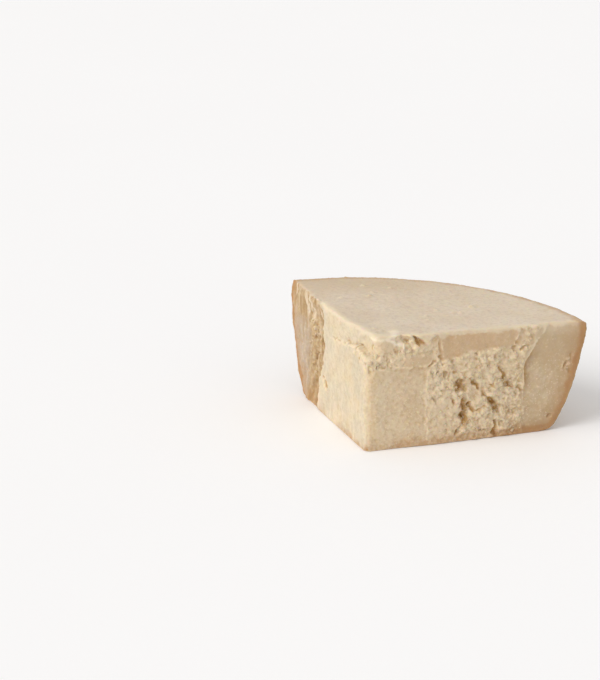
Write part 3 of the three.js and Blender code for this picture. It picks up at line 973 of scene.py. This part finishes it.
def hollow_depths(sides, breaks):
    """How deep each vertex lies in the front's hollows and in the left side's, in millimetres."""
    front_drawn, left_drawn = drawn_hollows(breaks)
    front = sunk(sides.x, sides.z, FRONT_HOLLOWS + front_drawn) * sides.front
    left = sunk(sides.y, sides.z, LEFT_HOLLOWS + left_drawn) * sides.left
    return front, left


def sink_hollows(chunk, sides, breaks):
    """Pushes the hollows into the front and the left side."""
    deepest = max(hollow.deep for hollow in FRONT_HOLLOWS + LEFT_HOLLOWS)
    for depths, axis in zip(hollow_depths(sides, breaks), "YX"):
        push_out(chunk, deepest * MM, paint_group(chunk, "hollows_" + axis, depths / deepest), axis)


def sink_chip(chunk, sides):
    """Pushes the chip into the front, and dents the top behind it."""
    push_out(chunk, CHIP_DEEP * MM, paint_group(chunk, "chip", within(sides, CHIP)), "Y")
    dented = bell(sides.x, sides.y, *CHIP_DENT) * sides.top
    push_out(chunk, -CHIP_DENT_DEEP * MM, paint_group(chunk, "dent", dented), "Z")


def shelf_share(sides):
    """1 on the smooth end of the strip over the tip's mark."""
    return sides.front * within(sides, SHELF)


def score_share(sides):
    """1 on the front side's score."""
    return sides.front * within(sides, SCORE)


def rind_mark_share(sides):
    """1 on the mark by the rind, less at its nicks. Its border is wider higher up."""
    nicks = np.maximum(bell(sides.x, sides.z, *HEEL_NICK), bell(sides.x, sides.z, *FOOT_NICK))
    rise = within(sides, RIND_MARK_RISE)
    zero, full = (low + (high - low) * rise for low, high in zip(RIND_BORDER, RIND_BORDER_HIGH))
    return fade(sides.into_rind_mark, zero, full) * (1 - nicks)


def front_breakage(sides):
    """1 in the broken middle of the front, less in the strip over the tip's mark, 0 on the blades' marks."""
    crumbled_foot = within(sides, TIP_MARK_FOOT) * patchy(FOOT_PATCHES, sides.x, sides.z)
    smooth = np.maximum.reduce([
        rind_mark_share(sides),
        within(sides, TIP_MARK) * (1 - crumbled_foot),
        SCORE_SMOOTH * score_share(sides),
        within(sides, FACET),
        within(sides, FLAKED) * (1 - bell(sides.x, sides.z, *FLAKED_NOTCH)),
        bell(sides.x, sides.z, *CALM_SPOT),
        within(sides, LOW_FRONT),
        SHELF_SMOOTH * shelf_share(sides),
    ])
    return sides.front * (1 - smooth)


def left_breakage(sides):
    """1 in the break beyond the slab, less along the score's lip and next to the rind, 0 on the slab."""
    crumbled = np.maximum(patchy(LIP_PATCHES, sides.y, sides.z), within(sides, LIP_BREAK_WHOLE))
    beyond = within(sides, SLAB_STEP) * (LEFT_ROUGH - within(sides, LEFT_CALM))
    return sides.left * np.clip(within(sides, LIP_BREAK) * crumbled + beyond, 0, 1)


def paint_group(piece, name, weights):
    """A vertex group with the given weights, in even steps."""
    group = piece.vertex_groups.get(name) or piece.vertex_groups.new(name=name)
    steps = np.round(np.asarray(weights) * WEIGHT_LEVELS).astype(int)
    order = np.argsort(steps, kind="stable")
    values, starts = np.unique(steps[order], return_index=True)
    for value, members in zip(values, np.split(order, starts[1:])):
        if value > 0:
            group.add(members.tolist(), value / WEIGHT_LEVELS, "REPLACE")
    return group.name


def clouds(name, grain, layers=1, kind="GRAYSCALE"):
    """A cloudy texture."""
    texture = bpy.data.textures.new(name, "CLOUDS")
    texture.noise_scale = grain
    texture.noise_depth = layers
    texture.cloud_type = kind
    return texture


def cobbles(name, grain):
    """A texture that is dark in the middle of round cells and bright where they meet."""
    texture = bpy.data.textures.new(name, "VORONOI")
    texture.noise_scale = grain
    texture.distance_metric = "DISTANCE_SQUARED"
    return texture


def roughen(piece, texture, strength, group, middle=0.5, **settings):
    """Pushes the surface in and out by a texture, as far as the group says."""
    settings = {"texture_coords": "LOCAL", "direction": "NORMAL", **settings}
    settings.update(texture=texture, strength=strength, mid_level=middle, vertex_group=group)
    modify(piece, "DISPLACE", **settings)


def roughen_streaks(piece, strength, group):
    """Roughens the surface with upright streaks, by a texture that is drawn out along Z."""
    bpy.ops.object.select_all(action="DESELECT")
    bpy.ops.object.empty_add(location=TIP_FOOT)
    guide = bpy.context.object
    guide.scale = STREAK_STRETCH
    bpy.context.view_layer.update()
    streaks = clouds("streaks", STREAK_GRAIN)
    roughen(piece, streaks, strength, group, texture_coords="OBJECT", texture_coords_object=guide)
    bpy.data.objects.remove(guide)


def push_out(piece, distance, group, direction):
    """Moves the surface along an axis, as far as the group says."""
    modify(piece, "DISPLACE", strength=distance, mid_level=0.0, vertex_group=group, direction=direction)


def remesh(piece, voxel):
    """An even mesh of the piece's outside."""
    modify(piece, "REMESH", mode="VOXEL", voxel_size=voxel, adaptivity=0.0)


def soften(piece, rounds, group=""):
    """Rounds off small edges, in the whole piece or as far as a group says."""
    modify(piece, "SMOOTH", factor=SOFT_SHARE, iterations=rounds, vertex_group=group)


def thin(piece, triangles):
    """Drops the triangles that the shape needs least."""
    piece.data.calc_loop_triangles()
    modify(piece, "DECIMATE", ratio=min(1.0, triangles / len(piece.data.loop_triangles)))


def wear_edges(chunk, sides, blades):
    """Rounds off the edges of the top and the upper tip, but little at the chip."""
    beside, ahead, radius = UPPER_TIP_SPOT
    upper_tip = bell(sides.x, sides.y, blades.left_score_depth + beside, ahead, radius)
    worn = within(sides, WORN) * (1 - CHIP_SHARP * within(sides, ROUND_CHIP))
    soften(chunk, WORN_ROUNDS, paint_group(chunk, "worn", worn))
    soften(chunk, TIP_ROUNDS, paint_group(chunk, "upper_tip", upper_tip * within(sides, UPPER_TIP)))


def break_sides(chunk, wheel, blades, breaks):
    """Hollows, crags and clods, on an even mesh."""
    remesh(chunk, breaks.coarse_voxel)
    soften(chunk, EVEN_ROUNDS)
    wear_edges(chunk, Sides(chunk, wheel, blades), blades)
    sides = Sides(chunk, wheel, blades)
    broken = paint_group(chunk, "rough", front_breakage(sides) + left_breakage(sides))
    sink_hollows(chunk, sides, breaks)
    sink_chip(chunk, sides)
    streaked = paint_group(chunk, "streaked", sides.left * within(sides, STREAKED))
    flared = paint_group(chunk, "flared", within(sides, FLARED))
    push_out(chunk, -blades.rind_flare * MM, flared, "X")
    roughen(chunk, clouds("crags", CRAG_GRAIN), breaks.crag_depth, broken)
    roughen(chunk, clouds("lumps", LUMP_GRAIN), breaks.lump_depth, broken)
    roughen(chunk, cobbles("clods", CLOD_GRAIN), -breaks.clod_depth, broken, CELL_MIDDLE)
    shifts = clouds("shifts", SHIFT_GRAIN, kind="COLOR")
    roughen(chunk, shifts, SHIFT_DEPTH, broken, direction="RGB_TO_XYZ")
    roughen_streaks(chunk, breaks.streak_depth, streaked)


def grain_surface(chunk, wheel, blades, breaks):
    """Crumbs and grain of the break, relief of the cuts and the rind, cracks and mounds, on a finer mesh."""
    remesh(chunk, breaks.fine_voxel)
    sides = Sides(chunk, wheel, blades)
    broken = front_breakage(sides) + left_breakage(sides)
    finer = sides.front * (1 - within(sides, FINER)) + FINER_LEFT * sides.left - broken
    cracks = sides.left * within(sides, LIP_CRACKS) * patchy(CRACK_PATCHES, sides.y)
    mounds = sum(bell(sides.x, sides.y, x, y, width / 2) for x, y, width in TOP_MOUNDS)
    groups = {
        "rough": broken,
        "crumbled": broken * (CRUMBLED_LEAST + patchy(CRUMB_PATCHES, sides.x, sides.z)),
        "bladed": np.clip(sides.front + sides.left - broken, 0, 1),
        "finer": np.clip(finer, 0, 1) * (1 - FINER_SCORE * score_share(sides)),
        "top": sides.top,
        "rind": within(sides, RIND_SKIN) * (1 - sides.base) * (1 - sides.top),
        "cracks": cracks,
        "mounds": np.clip(mounds, 0, 1) * sides.top,
    }
    for name, weights in groups.items():
        paint_group(chunk, name, weights)
    roughen(chunk, cobbles("crumbs", CRUMB_GRAIN), -breaks.crumb_depth, "crumbled", CELL_MIDDLE)
    roughen(chunk, clouds("grain", FINE_GRAIN), breaks.grain_depth, "rough")
    for relief in CUT_RELIEFS:
        roughen(chunk, clouds(relief.name, relief.grain, relief.layers), relief.depth, relief.group)
    push_out(chunk, CRACK_DEEP, "cracks", "X")
    push_out(chunk, MOUND_HIGH, "mounds", "Z")


def smooth_places(mesh, places, rounds):
    """Vertex places after the given rounds of averaging with their neighbours."""
    ends = np.empty(len(mesh.edges) * 2, np.int32)
    mesh.edges.foreach_get("vertices", ends)
    first, second = ends.reshape(-1, 2).T
    count = len(places)
    neighbours = np.bincount(first, minlength=count) + np.bincount(second, minlength=count)
    for _ in range(rounds):
        total = np.empty_like(places)
        for axis in range(3):
            column = places[:, axis]
            total[:, axis] = (
                np.bincount(first, column[second], count) + np.bincount(second, column[first], count))
        places = total / neighbours[:, None]
    return places


def store(mesh, name, values):
    """Keeps a number for each vertex, for the material to read."""
    attribute = mesh.attributes.new(name, "FLOAT", "POINT")
    attribute.data.foreach_set("value", np.asarray(values, np.float32))


def brow_share(sides):
    """1 along the top's edges, but not over the left break, and on the ridge before the mark by the rind:
    where the painted highlight goes.
    """
    edges = within(sides, BROW) * (1 - within(sides, OVER_BREAK))
    return np.maximum(edges, within(sides, RIDGE) * sides.front)


def chip_rim_share(sides):
    """1 on the pale rim of the chip's pointed end, and less inside it."""
    return np.maximum(within(sides, CHIP_RIM), within(sides, CHIP_FLOOR)) * within(sides, CHIP_POINT)


def mark_finishes(chunk, wheel, blades, breaks):
    """Stores how deep in a hollow, how near the rind, and how much on each kind of surface each vertex is."""
    mesh = chunk.data
    places, normals = vertex_places(mesh), vertex_normals(mesh)
    near = smooth_places(mesh, places, CREVICE_ROUNDS)
    wide = smooth_places(mesh, near, HOLLOW_ROUNDS)
    sides = Sides(chunk, wheel, blades)
    # Painted shade on the calm patch
    calm = sides.front * bell(sides.x, sides.z, *CALM_TONE)
    crumbly = front_breakage(sides) + LEFT_CRUMBS * left_breakage(sides)
    finishes = {
        # crevice and hollow say how far a vertex lies in or stands out of its smoothed surroundings: painted
        # shade goes in, painted highlight on what stands out
        "crevice": ((near - places) * normals).sum(1) / MM,
        "hollow": ((wide - places) * normals).sum(1) / MM,
        # sunk holds the hollows' depths and the painted shadow by the rind mark's border, both for painted
        # shade
        "sunk": sum(hollow_depths(sides, breaks)) + SHADE_DEPTH * within(sides, SHADED) * sides.front,
        "chip_rim": chip_rim_share(sides),
        "from_heel": sides.from_heel,
        "from_base": sides.z,
        "top_cut": sides.top,
        "rim": within(sides, RIM),
        "brow": brow_share(sides),
        "upper_rind": sides.front * within(sides, UPPER_RIND),
        # The knife's score, painted shade on the calm patch, and the shelf
        "scored_and_shaded": np.maximum.reduce([score_share(sides), calm, SHELF_TONE * shelf_share(sides)]),
        "far_side": within(sides, FAR_SIDE),
        "left_break": sides.left * within(sides, LEFT_BREAK),
        "left_rim": sides.left * within(sides, LEFT_RIM),
        "left_slab": sides.left * within(sides, LEFT_SLAB),
        # Where painted light goes on the tip's upright edge
        "tip_edge": within(sides, TIP_EDGE),
        "crumbly": crumbly * within(sides, CRUMBS_UP),
    }
    for name, values in finishes.items():
        store(mesh, name, values)
    chunk.vertex_groups.clear()


def crumb_shapes():
    """Uneven little lumps of unit size, each as its corners and triangles."""
    shapes = []
    for seed in range(CRUMB_KINDS):
        lump = uneven_ball(CRUMB_FINENESS, 1.0, (0, 0, 0), CRUMB_UNEVEN, seed)
        triangles = np.array([face.vertices[:] for face in lump.data.polygons])
        shapes.append((vertex_places(lump.data), triangles))
        bpy.data.objects.remove(lump)
    return shapes


def surface_draws(chunk, weight_name, count, draw):
    """Places and normals drawn over the chunk's surface, as often as the stored weight says."""
    mesh = chunk.data
    mesh.calc_loop_triangles()
    corners = np.empty(len(mesh.loop_triangles) * 3, np.int32)
    mesh.loop_triangles.foreach_get("vertices", corners)
    corners = corners.reshape(-1, 3)
    areas = np.empty(len(corners), np.float32)
    mesh.loop_triangles.foreach_get("area", areas)
    weights = np.empty(len(mesh.vertices), np.float32)
    mesh.attributes[weight_name].data.foreach_get("value", weights)
    chances = areas * np.clip(weights[corners].mean(1), 0, 1) ** 2
    chosen = corners[draw.choice(len(corners), count, p=chances / chances.sum())]
    shares = draw.dirichlet((1, 1, 1), count)[:, :, None]
    places = (vertex_places(mesh)[chosen] * shares).sum(1)
    normals = (vertex_normals(mesh)[chosen] * shares).sum(1)
    return places, normals / np.linalg.norm(normals, axis=1)[:, None]


def turns(count, draw):
    """Random rotations as matrices."""
    quaternions = draw.normal(size=(4, count))
    w, x, y, z = quaternions / np.linalg.norm(quaternions, axis=0)
    return np.array([
        [1 - 2 * (y * y + z * z), 2 * (x * y - w * z), 2 * (x * z + w * y)],
        [2 * (x * y + w * z), 1 - 2 * (x * x + z * z), 2 * (y * z - w * x)],
        [2 * (x * z - w * y), 2 * (y * z + w * x), 1 - 2 * (x * x + y * y)],
    ]).transpose(2, 0, 1)


def unturned(count):
    """Rotations that leave things as they are."""
    return np.repeat(np.eye(3)[None], count, axis=0)


def clinging_crumbs(chunk, breaks, draw):
    """Places, half sizes and rotations of the crumbs that cling to the broken sides."""
    places, normals = surface_draws(chunk, "crumbly", breaks.crumbs, draw)
    sizes = breaks.crumb_size * np.clip(draw.lognormal(0, CRUMB_VARIETY, breaks.crumbs), *CRUMB_LIMITS)
    places = places + normals * (sizes * draw.uniform(*CRUMB_SINK, breaks.crumbs))[:, None]
    places[:, 2] = np.maximum(places[:, 2], CRUMB_CLEARANCE * sizes)
    return places, np.repeat(sizes[:, None], 3, axis=1), turns(breaks.crumbs, draw)


def chip_flake():
    """Place, half size and rotation of the flake below the chip."""
    return np.array([FLAKE_PLACE]) * MM + np.array(TIP_FOOT), np.array([FLAKE_SIZE]) * MM / 2, unturned(1)


def top_bumps(wheel):
    """Places, half sizes and rotations of the bumps on the top's mounds."""
    mounds = np.array(TOP_MOUNDS)
    heights = top_height(mounds[:, 0], mounds[:, 1], wheel) + BUMP_OVER
    places = np.column_stack((mounds[:, :2], heights)) * MM + np.array(TIP_FOOT)
    return places, mounds[:, 2:] * MM * np.array(BUMP_SHARES), unturned(len(mounds))


def joined_crumbs(places, sizes, rotations, draw):
    """One mesh of crumbs, each a turned and stretched copy of one of the shapes."""
    shapes = crumb_shapes()
    count = len(places)
    kinds = draw.integers(0, len(shapes), count)
    stretches = draw.uniform(*CRUMB_STRETCH, (count, 3)) * sizes
    corner_sets, triangle_sets, start = [], [], 0
    for place, kind, stretch, rotation in zip(places, kinds, stretches, rotations):
        corners, triangles = shapes[kind]
        corner_sets.append((corners * stretch) @ rotation.T + place)
        triangle_sets.append(triangles + start)
        start += len(corners)
    mesh = bpy.data.meshes.new("crumbs")
    mesh.from_pydata(np.concatenate(corner_sets), [], np.concatenate(triangle_sets))
    mesh.update()
    crumbs = bpy.data.objects.new("crumbs", mesh)
    bpy.context.scene.collection.objects.link(crumbs)
    return crumbs


class NodeDesk:
    """Adds shader nodes to a material and wires them up. It keeps values by name for the nodes to come."""

    def __init__(self, name):
        self.material = bpy.data.materials.new(name)
        self.material.use_nodes = True
        self.tree = self.material.node_tree
        self.shader = self.tree.nodes["Principled BSDF"]
        self.coords = self.node("TexCoord", "Object")
        self.named = {}

    def wire(self, value, socket):
        if isinstance(value, bpy.types.NodeSocket):
            self.tree.links.new(value, socket)
        else:
            socket.default_value = value

    def node(self, kind, output, inputs=None, **settings):
        """Adds a node, sets it up, wires its inputs, and gives one of its outputs."""
        node = self.tree.nodes.new("ShaderNode" + kind)
        for name, value in settings.items():
            setattr(node, name, value)
        for name, value in (inputs or {}).items():
            self.wire(value, node.inputs[name])
        return node.outputs[output]

    def value(self, item):
        """What an item stands for: a tone, a span, a value kept by name here or on the mesh, or itself."""
        if isinstance(item, Tone):
            return self.span(self.noise(*item.noise, item.squeeze), *item.span)
        if isinstance(item, tuple):
            return self.span(*item)
        if not isinstance(item, str):
            return item
        if item not in self.named:
            self.named[item] = self.node("Attribute", "Fac", attribute_name=item)
        return self.named[item]

    def noise(self, size, detail, rough, squeeze=None):
        coords = self.coords
        if squeeze is not None:
            coords = self.node("Mapping", "Vector", {"Vector": coords, "Scale": squeeze})
        inputs = {"Vector": coords, "Scale": 1.0 / size, "Detail": detail, "Roughness": rough}
        return self.node("TexNoise", "Fac", inputs)

    def cells(self, size):
        return self.node("TexVoronoi", "Distance", {"Vector": self.coords, "Scale": 1.0 / size})

    def span(self, value, low, high, to_low=0.0, to_high=1.0):
        """The value between low and high, taken smoothly to another range."""
        names = ("Value", "From Min", "From Max", "To Min", "To Max")
        items = (self.value(item) for item in (value, low, high, to_low, to_high))
        return self.node("MapRange", "Result", dict(zip(names, items)), interpolation_type="SMOOTHSTEP")

    def math(self, operation, first, *others):
        """A sum, product or the like of some items, from left to right."""
        total = self.value(first)
        for other in others:
            total = self.node("Math", 0, {0: total, 1: self.value(other)}, operation=operation)
        return total

    def coat(self, under, colour, *shares):
        """A colour over another, as far as the product of some shares says."""
        inputs = {"Factor": self.math("MULTIPLY", *shares)}
        for name, item in (("A", under), ("B", colour)):
            inputs[name] = item if isinstance(item, bpy.types.NodeSocket) else (*item, 1.0)
        return self.node("Mix", "Result", inputs, data_type="RGBA")

    def coats(self, under, colours, rows):
        """Lays colours over one another."""
        for name, *shares in rows:
            under = self.coat(under, getattr(colours, name), *shares)
        return under

    def inside_heel(self, wheel):
        """How far a place lies inside the wheel's outside, in millimetres."""
        axis = TIP_FOOT + Vector((wheel.axis_x, wheel.axis_y, 0.0))
        parts = self.tree.nodes.new("ShaderNodeSeparateXYZ")
        self.wire(self.coords, parts.inputs["Vector"])
        x, y, height = parts.outputs
        aside = self.math("POWER", self.math("SUBTRACT", x, axis.x), 2.0)
        ahead = self.math("POWER", self.math("SUBTRACT", y, axis.y), 2.0)
        from_axis = self.node("Math", 0, {0: self.math("ADD", aside, ahead)}, operation="SQRT")
        brim = wheel.cut_height * PAST_CUT
        outline = self.tree.nodes.new("ShaderNodeFloatCurve")
        curve = outline.mapping.curves[0]
        points = [(height / brim, radius / wheel.radius) for radius, height in heel_profile(wheel)]
        curve.points[0].location = points[0]
        curve.points[1].location = points[-1]
        for point in points[1:-1]:
            curve.points.new(*point)
        outline.mapping.update()
        self.wire(self.math("DIVIDE", height, brim), outline.inputs["Value"])
        radius = self.math("MULTIPLY", outline.outputs["Value"], wheel.radius)
        return self.math("DIVIDE", self.math("SUBTRACT", radius, from_axis), MM)


def finish_paste(desk, colour, glow):
    """Wires a colour into the shader with the paste's soft, slightly see-through, grainy surface."""
    desk.named["grain"] = desk.noise(*GRAIN)
    height = desk.math("ADD", "grain", desk.math("MULTIPLY", "mottle", MOTTLE_BUMP))
    bump = {"Strength": BUMP_STRENGTH, "Distance": BUMP_HEIGHT, "Height": height}
    finish = {
        "Base Color": colour,
        "Roughness": desk.value(PASTE_ROUGH),
        "Specular IOR Level": PASTE_SPECULAR,
        "Subsurface Weight": GLOW_SHARE,
        "Subsurface Radius": GLOW_COLOURS,
        "Subsurface Scale": glow,
        "Normal": desk.node("Bump", "Normal", bump),
    }
    for name, value in finish.items():
        desk.wire(value, desk.shader.inputs[name])


def name_paste_shares(desk):
    """Keeps the shares of the raised paste, of its pale patches and of the whitish runs."""
    desk.named["raised"] = desk.math("MAXIMUM", PALE_BELOW, "left_slab")
    desk.named["pale"] = desk.math("ADD", PALE_TONE, PALE_MOTTLE)
    low = desk.math("MULTIPLY", LOW_RUNS, "left_slab")
    high = desk.math("MULTIPLY", HIGH_RUNS, "left_break")
    desk.named["runs"] = desk.math("ADD", low, high)


def name_browned_share(desk):
    """Keeps how far the paste is browned, in uneven bands by the heel and by the base."""
    desk.named["stray"] = desk.value(STRAY_TONE)
    desk.named["heel_near"] = desk.math("ADD", "inside_heel", desk.math("MULTIPLY", "stray", HEEL_STRAY))
    desk.named["base_near"] = desk.math("ADD", "from_base", desk.math("MULTIPLY", "stray", BASE_STRAY))
    near_heel = desk.span("top_cut", 0, 1, desk.math("MAXIMUM", HEEL_BAND, HEEL_WIDE_BAND), TOP_BAND)
    band = desk.value(BASE_BAND)
    low_band = desk.span("base_near", band, desk.math("SUBTRACT", band, BASE_SOFTNESS), 0, BASE_SHARE)
    near_base = desk.math("MULTIPLY", low_band, desk.math("MULTIPLY", BROWNED_BASE, BAND_MOTTLE))
    low_by_heel = desk.math("MULTIPLY", LOW_BROWN, LOW_BROWN_HEEL)
    desk.named["browned"] = desk.math("MAXIMUM", near_heel, near_base, low_by_heel)


def cheese_material(colours, wheel):
    """Paste, dry skin on the top cut, browned paste towards the rind, and the rind."""
    desk = NodeDesk("cheese")
    desk.named["mottle"] = desk.noise(*MOTTLE)
    desk.named["cells"] = desk.cells(SPECK_CELLS)
    desk.named["inside_heel"] = desk.inside_heel(wheel)
    name_paste_shares(desk)
    name_browned_share(desk)
    paste = desk.coats(colours.paste_dry, colours, PASTE_COATS)
    skin = desk.coats(colours.cut_top, colours, SKIN_COATS)
    inside = desk.coats(desk.coat(paste, skin, "top_cut"), colours, EDGE_COATS)
    rind = desk.coats(colours.rind, colours, RIND_COATS)
    thick = desk.value(RIND_THICK)
    on_heel = desk.span("inside_heel", thick, desk.math("SUBTRACT", thick, RIND_SOFT))
    colour = desk.coat(inside, rind, desk.math("MAXIMUM", on_heel, BASE_LINE))
    finish_paste(desk, colour, PASTE_GLOW)
    return desk.material


def crumb_material(colours):
    """Fresh paste of loose crumbs."""
    desk = NodeDesk("crumb")
    desk.named["mottle"] = desk.noise(*CRUMB_MOTTLE)
    finish_paste(desk, desk.coats(colours.paste, colours, CRUMB_COATS), CRUMB_GLOW)
    return desk.material


class CHEESE_OT_chunk(bpy.types.Operator):
    """Model the chunk: wheel, cuts, blade marks, hollows, broken relief and finish."""

    bl_idname = "cheese.chunk"
    bl_label = "Chunk"

    def execute(self, context):
        wheel = context.scene.cheese_wheel
        blades = in_millimetres(context.scene.cheese_blades)
        breaks = context.scene.cheese_breaks
        chunk = model_wedge(wheel)
        BladeMarks(wheel, blades).cut(chunk)
        add_clod(chunk, breaks.seed)
        break_sides(chunk, wheel, blades, breaks)
        grain_surface(chunk, wheel, blades, breaks)
        mark_finishes(chunk, wheel, blades, breaks)
        thin(chunk, breaks.triangles)
        only(chunk)
        bpy.ops.object.shade_smooth()
        chunk.data.materials.clear()
        chunk.data.materials.append(cheese_material(context.scene.cheese_colours, wheel))
        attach(chunk, "root")
        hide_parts(CHUNK_NODE)
        return {"FINISHED"}


class CHEESE_OT_crumbs(bpy.types.Operator):
    """Scatter crumbs that cling to the broken sides, and add the chip's flake and the bumps on the top."""

    bl_idname = "cheese.crumbs"
    bl_label = "Crumbs"

    def execute(self, context):
        breaks = context.scene.cheese_breaks
        draw = np.random.default_rng(breaks.seed)
        clinging = clinging_crumbs(bpy.data.objects["chunk"], breaks, draw)
        kinds = (clinging, chip_flake(), top_bumps(context.scene.cheese_wheel))
        places, sizes, rotations = (np.concatenate(parts) for parts in zip(*kinds))
        crumbs = joined_crumbs(places, sizes, rotations, draw)
        pale = np.repeat((0.0, FLAKE_PALE, BUMP_PALE), [len(kind[0]) for kind in kinds])
        store(crumbs.data, "pale", np.repeat(pale, len(crumbs.data.vertices) // len(pale)))
        only(crumbs)
        bpy.ops.object.shade_smooth()
        crumbs.data.materials.append(crumb_material(context.scene.cheese_colours))
        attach(crumbs, "root")
        return {"FINISHED"}


class CHEESE_OT_stage(bpy.types.Operator):
    """Set up the floor, the lights and the camera."""

    bl_idname = "cheese.stage"
    bl_label = "Stage"

    def execute(self, context):
        studio = context.scene.cheese_studio
        self.lay_floor(studio)
        self.light(context, studio)
        self.set_camera(context, studio)
        return {"FINISHED"}

    def lay_floor(self, studio):
        bpy.ops.object.select_all(action="DESELECT")
        bpy.ops.mesh.primitive_plane_add(size=studio.floor_size, location=(0, 0, 0))
        floor = bpy.context.object
        floor.name = "floor"
        desk = NodeDesk("floor")
        paler = [shade * FLOOR_PALER for shade in studio.floor_shade]
        colour = desk.coat(studio.floor_shade, paler, desk.noise(*FLOOR_PATCHES))
        desk.wire(colour, desk.shader.inputs["Base Color"])
        desk.shader.inputs["Roughness"].default_value = FLOOR_ROUGH
        floor.data.materials.append(desk.material)

    def light(self, context, studio):
        world = bpy.data.worlds.new("studio")
        world.use_nodes = True
        sky = world.node_tree.nodes["Background"]
        sky.inputs["Color"].default_value = (*studio.sky_shade, 1.0)
        sky.inputs["Strength"].default_value = studio.sky_strength
        context.scene.world = world
        bpy.ops.object.light_add(type="SUN", location=studio.key_from)
        key = context.object
        key.name = "key"
        key.data.energy = studio.key_strength
        key.data.angle = studio.key_spread
        key.data.color = studio.key_shade
        key.rotation_euler = (-Vector(studio.key_from)).to_track_quat("-Z", "Y").to_euler()

    def set_camera(self, context, studio):
        bpy.ops.object.camera_add(
            location=TIP_FOOT + Vector(studio.camera_place),
            rotation=(math.pi / 2 - studio.camera_dip, 0.0, -studio.camera_turn))
        camera = context.object
        camera.data.sensor_width = SENSOR
        camera.data.lens = SENSOR * FOCAL_PIXELS / FRAME_HEIGHT
        context.scene.camera = camera
        context.scene.view_settings.view_transform = "Standard"


OPERATORS = (CHEESE_OT_chunk, CHEESE_OT_crumbs, CHEESE_OT_stage)
GROUPS = {
    "cheese_wheel": WheelSizes,
    "cheese_blades": BladeSizes,
    "cheese_breaks": BreakSizes,
    "cheese_colours": CheeseColours,
    "cheese_studio": StudioLook,
}


class CHEESE_PT_panel(bpy.types.Panel):
    """The operators, and the sizes and colours that they use."""

    bl_idname = "CHEESE_PT_panel"
    bl_label = "Hard Cheese Chunk"
    bl_space_type = "VIEW_3D"
    bl_region_type = "UI"
    bl_category = "Cheese"

    def draw(self, context):
        for operator in OPERATORS:
            self.layout.operator(operator.bl_idname)
        for name, group in GROUPS.items():
            box = self.layout.box()
            box.label(text=group.__doc__)
            for field in group.__annotations__:
                box.prop(getattr(context.scene, name), field)


CLASSES = (*GROUPS.values(), *OPERATORS, CHEESE_PT_panel)


def register():
    for item in CLASSES:
        bpy.utils.register_class(item)
    for name, group in GROUPS.items():
        setattr(bpy.types.Scene, name, PointerProperty(type=group))


def unregister():
    for name in GROUPS:
        delattr(bpy.types.Scene, name)
    for item in reversed(CLASSES):
        bpy.utils.unregister_class(item)


def main():
    register()
    bpy.ops.cheese.chunk()
    bpy.ops.cheese.crumbs()
    bpy.ops.cheese.stage()


if __name__ == "__main__":
    main()
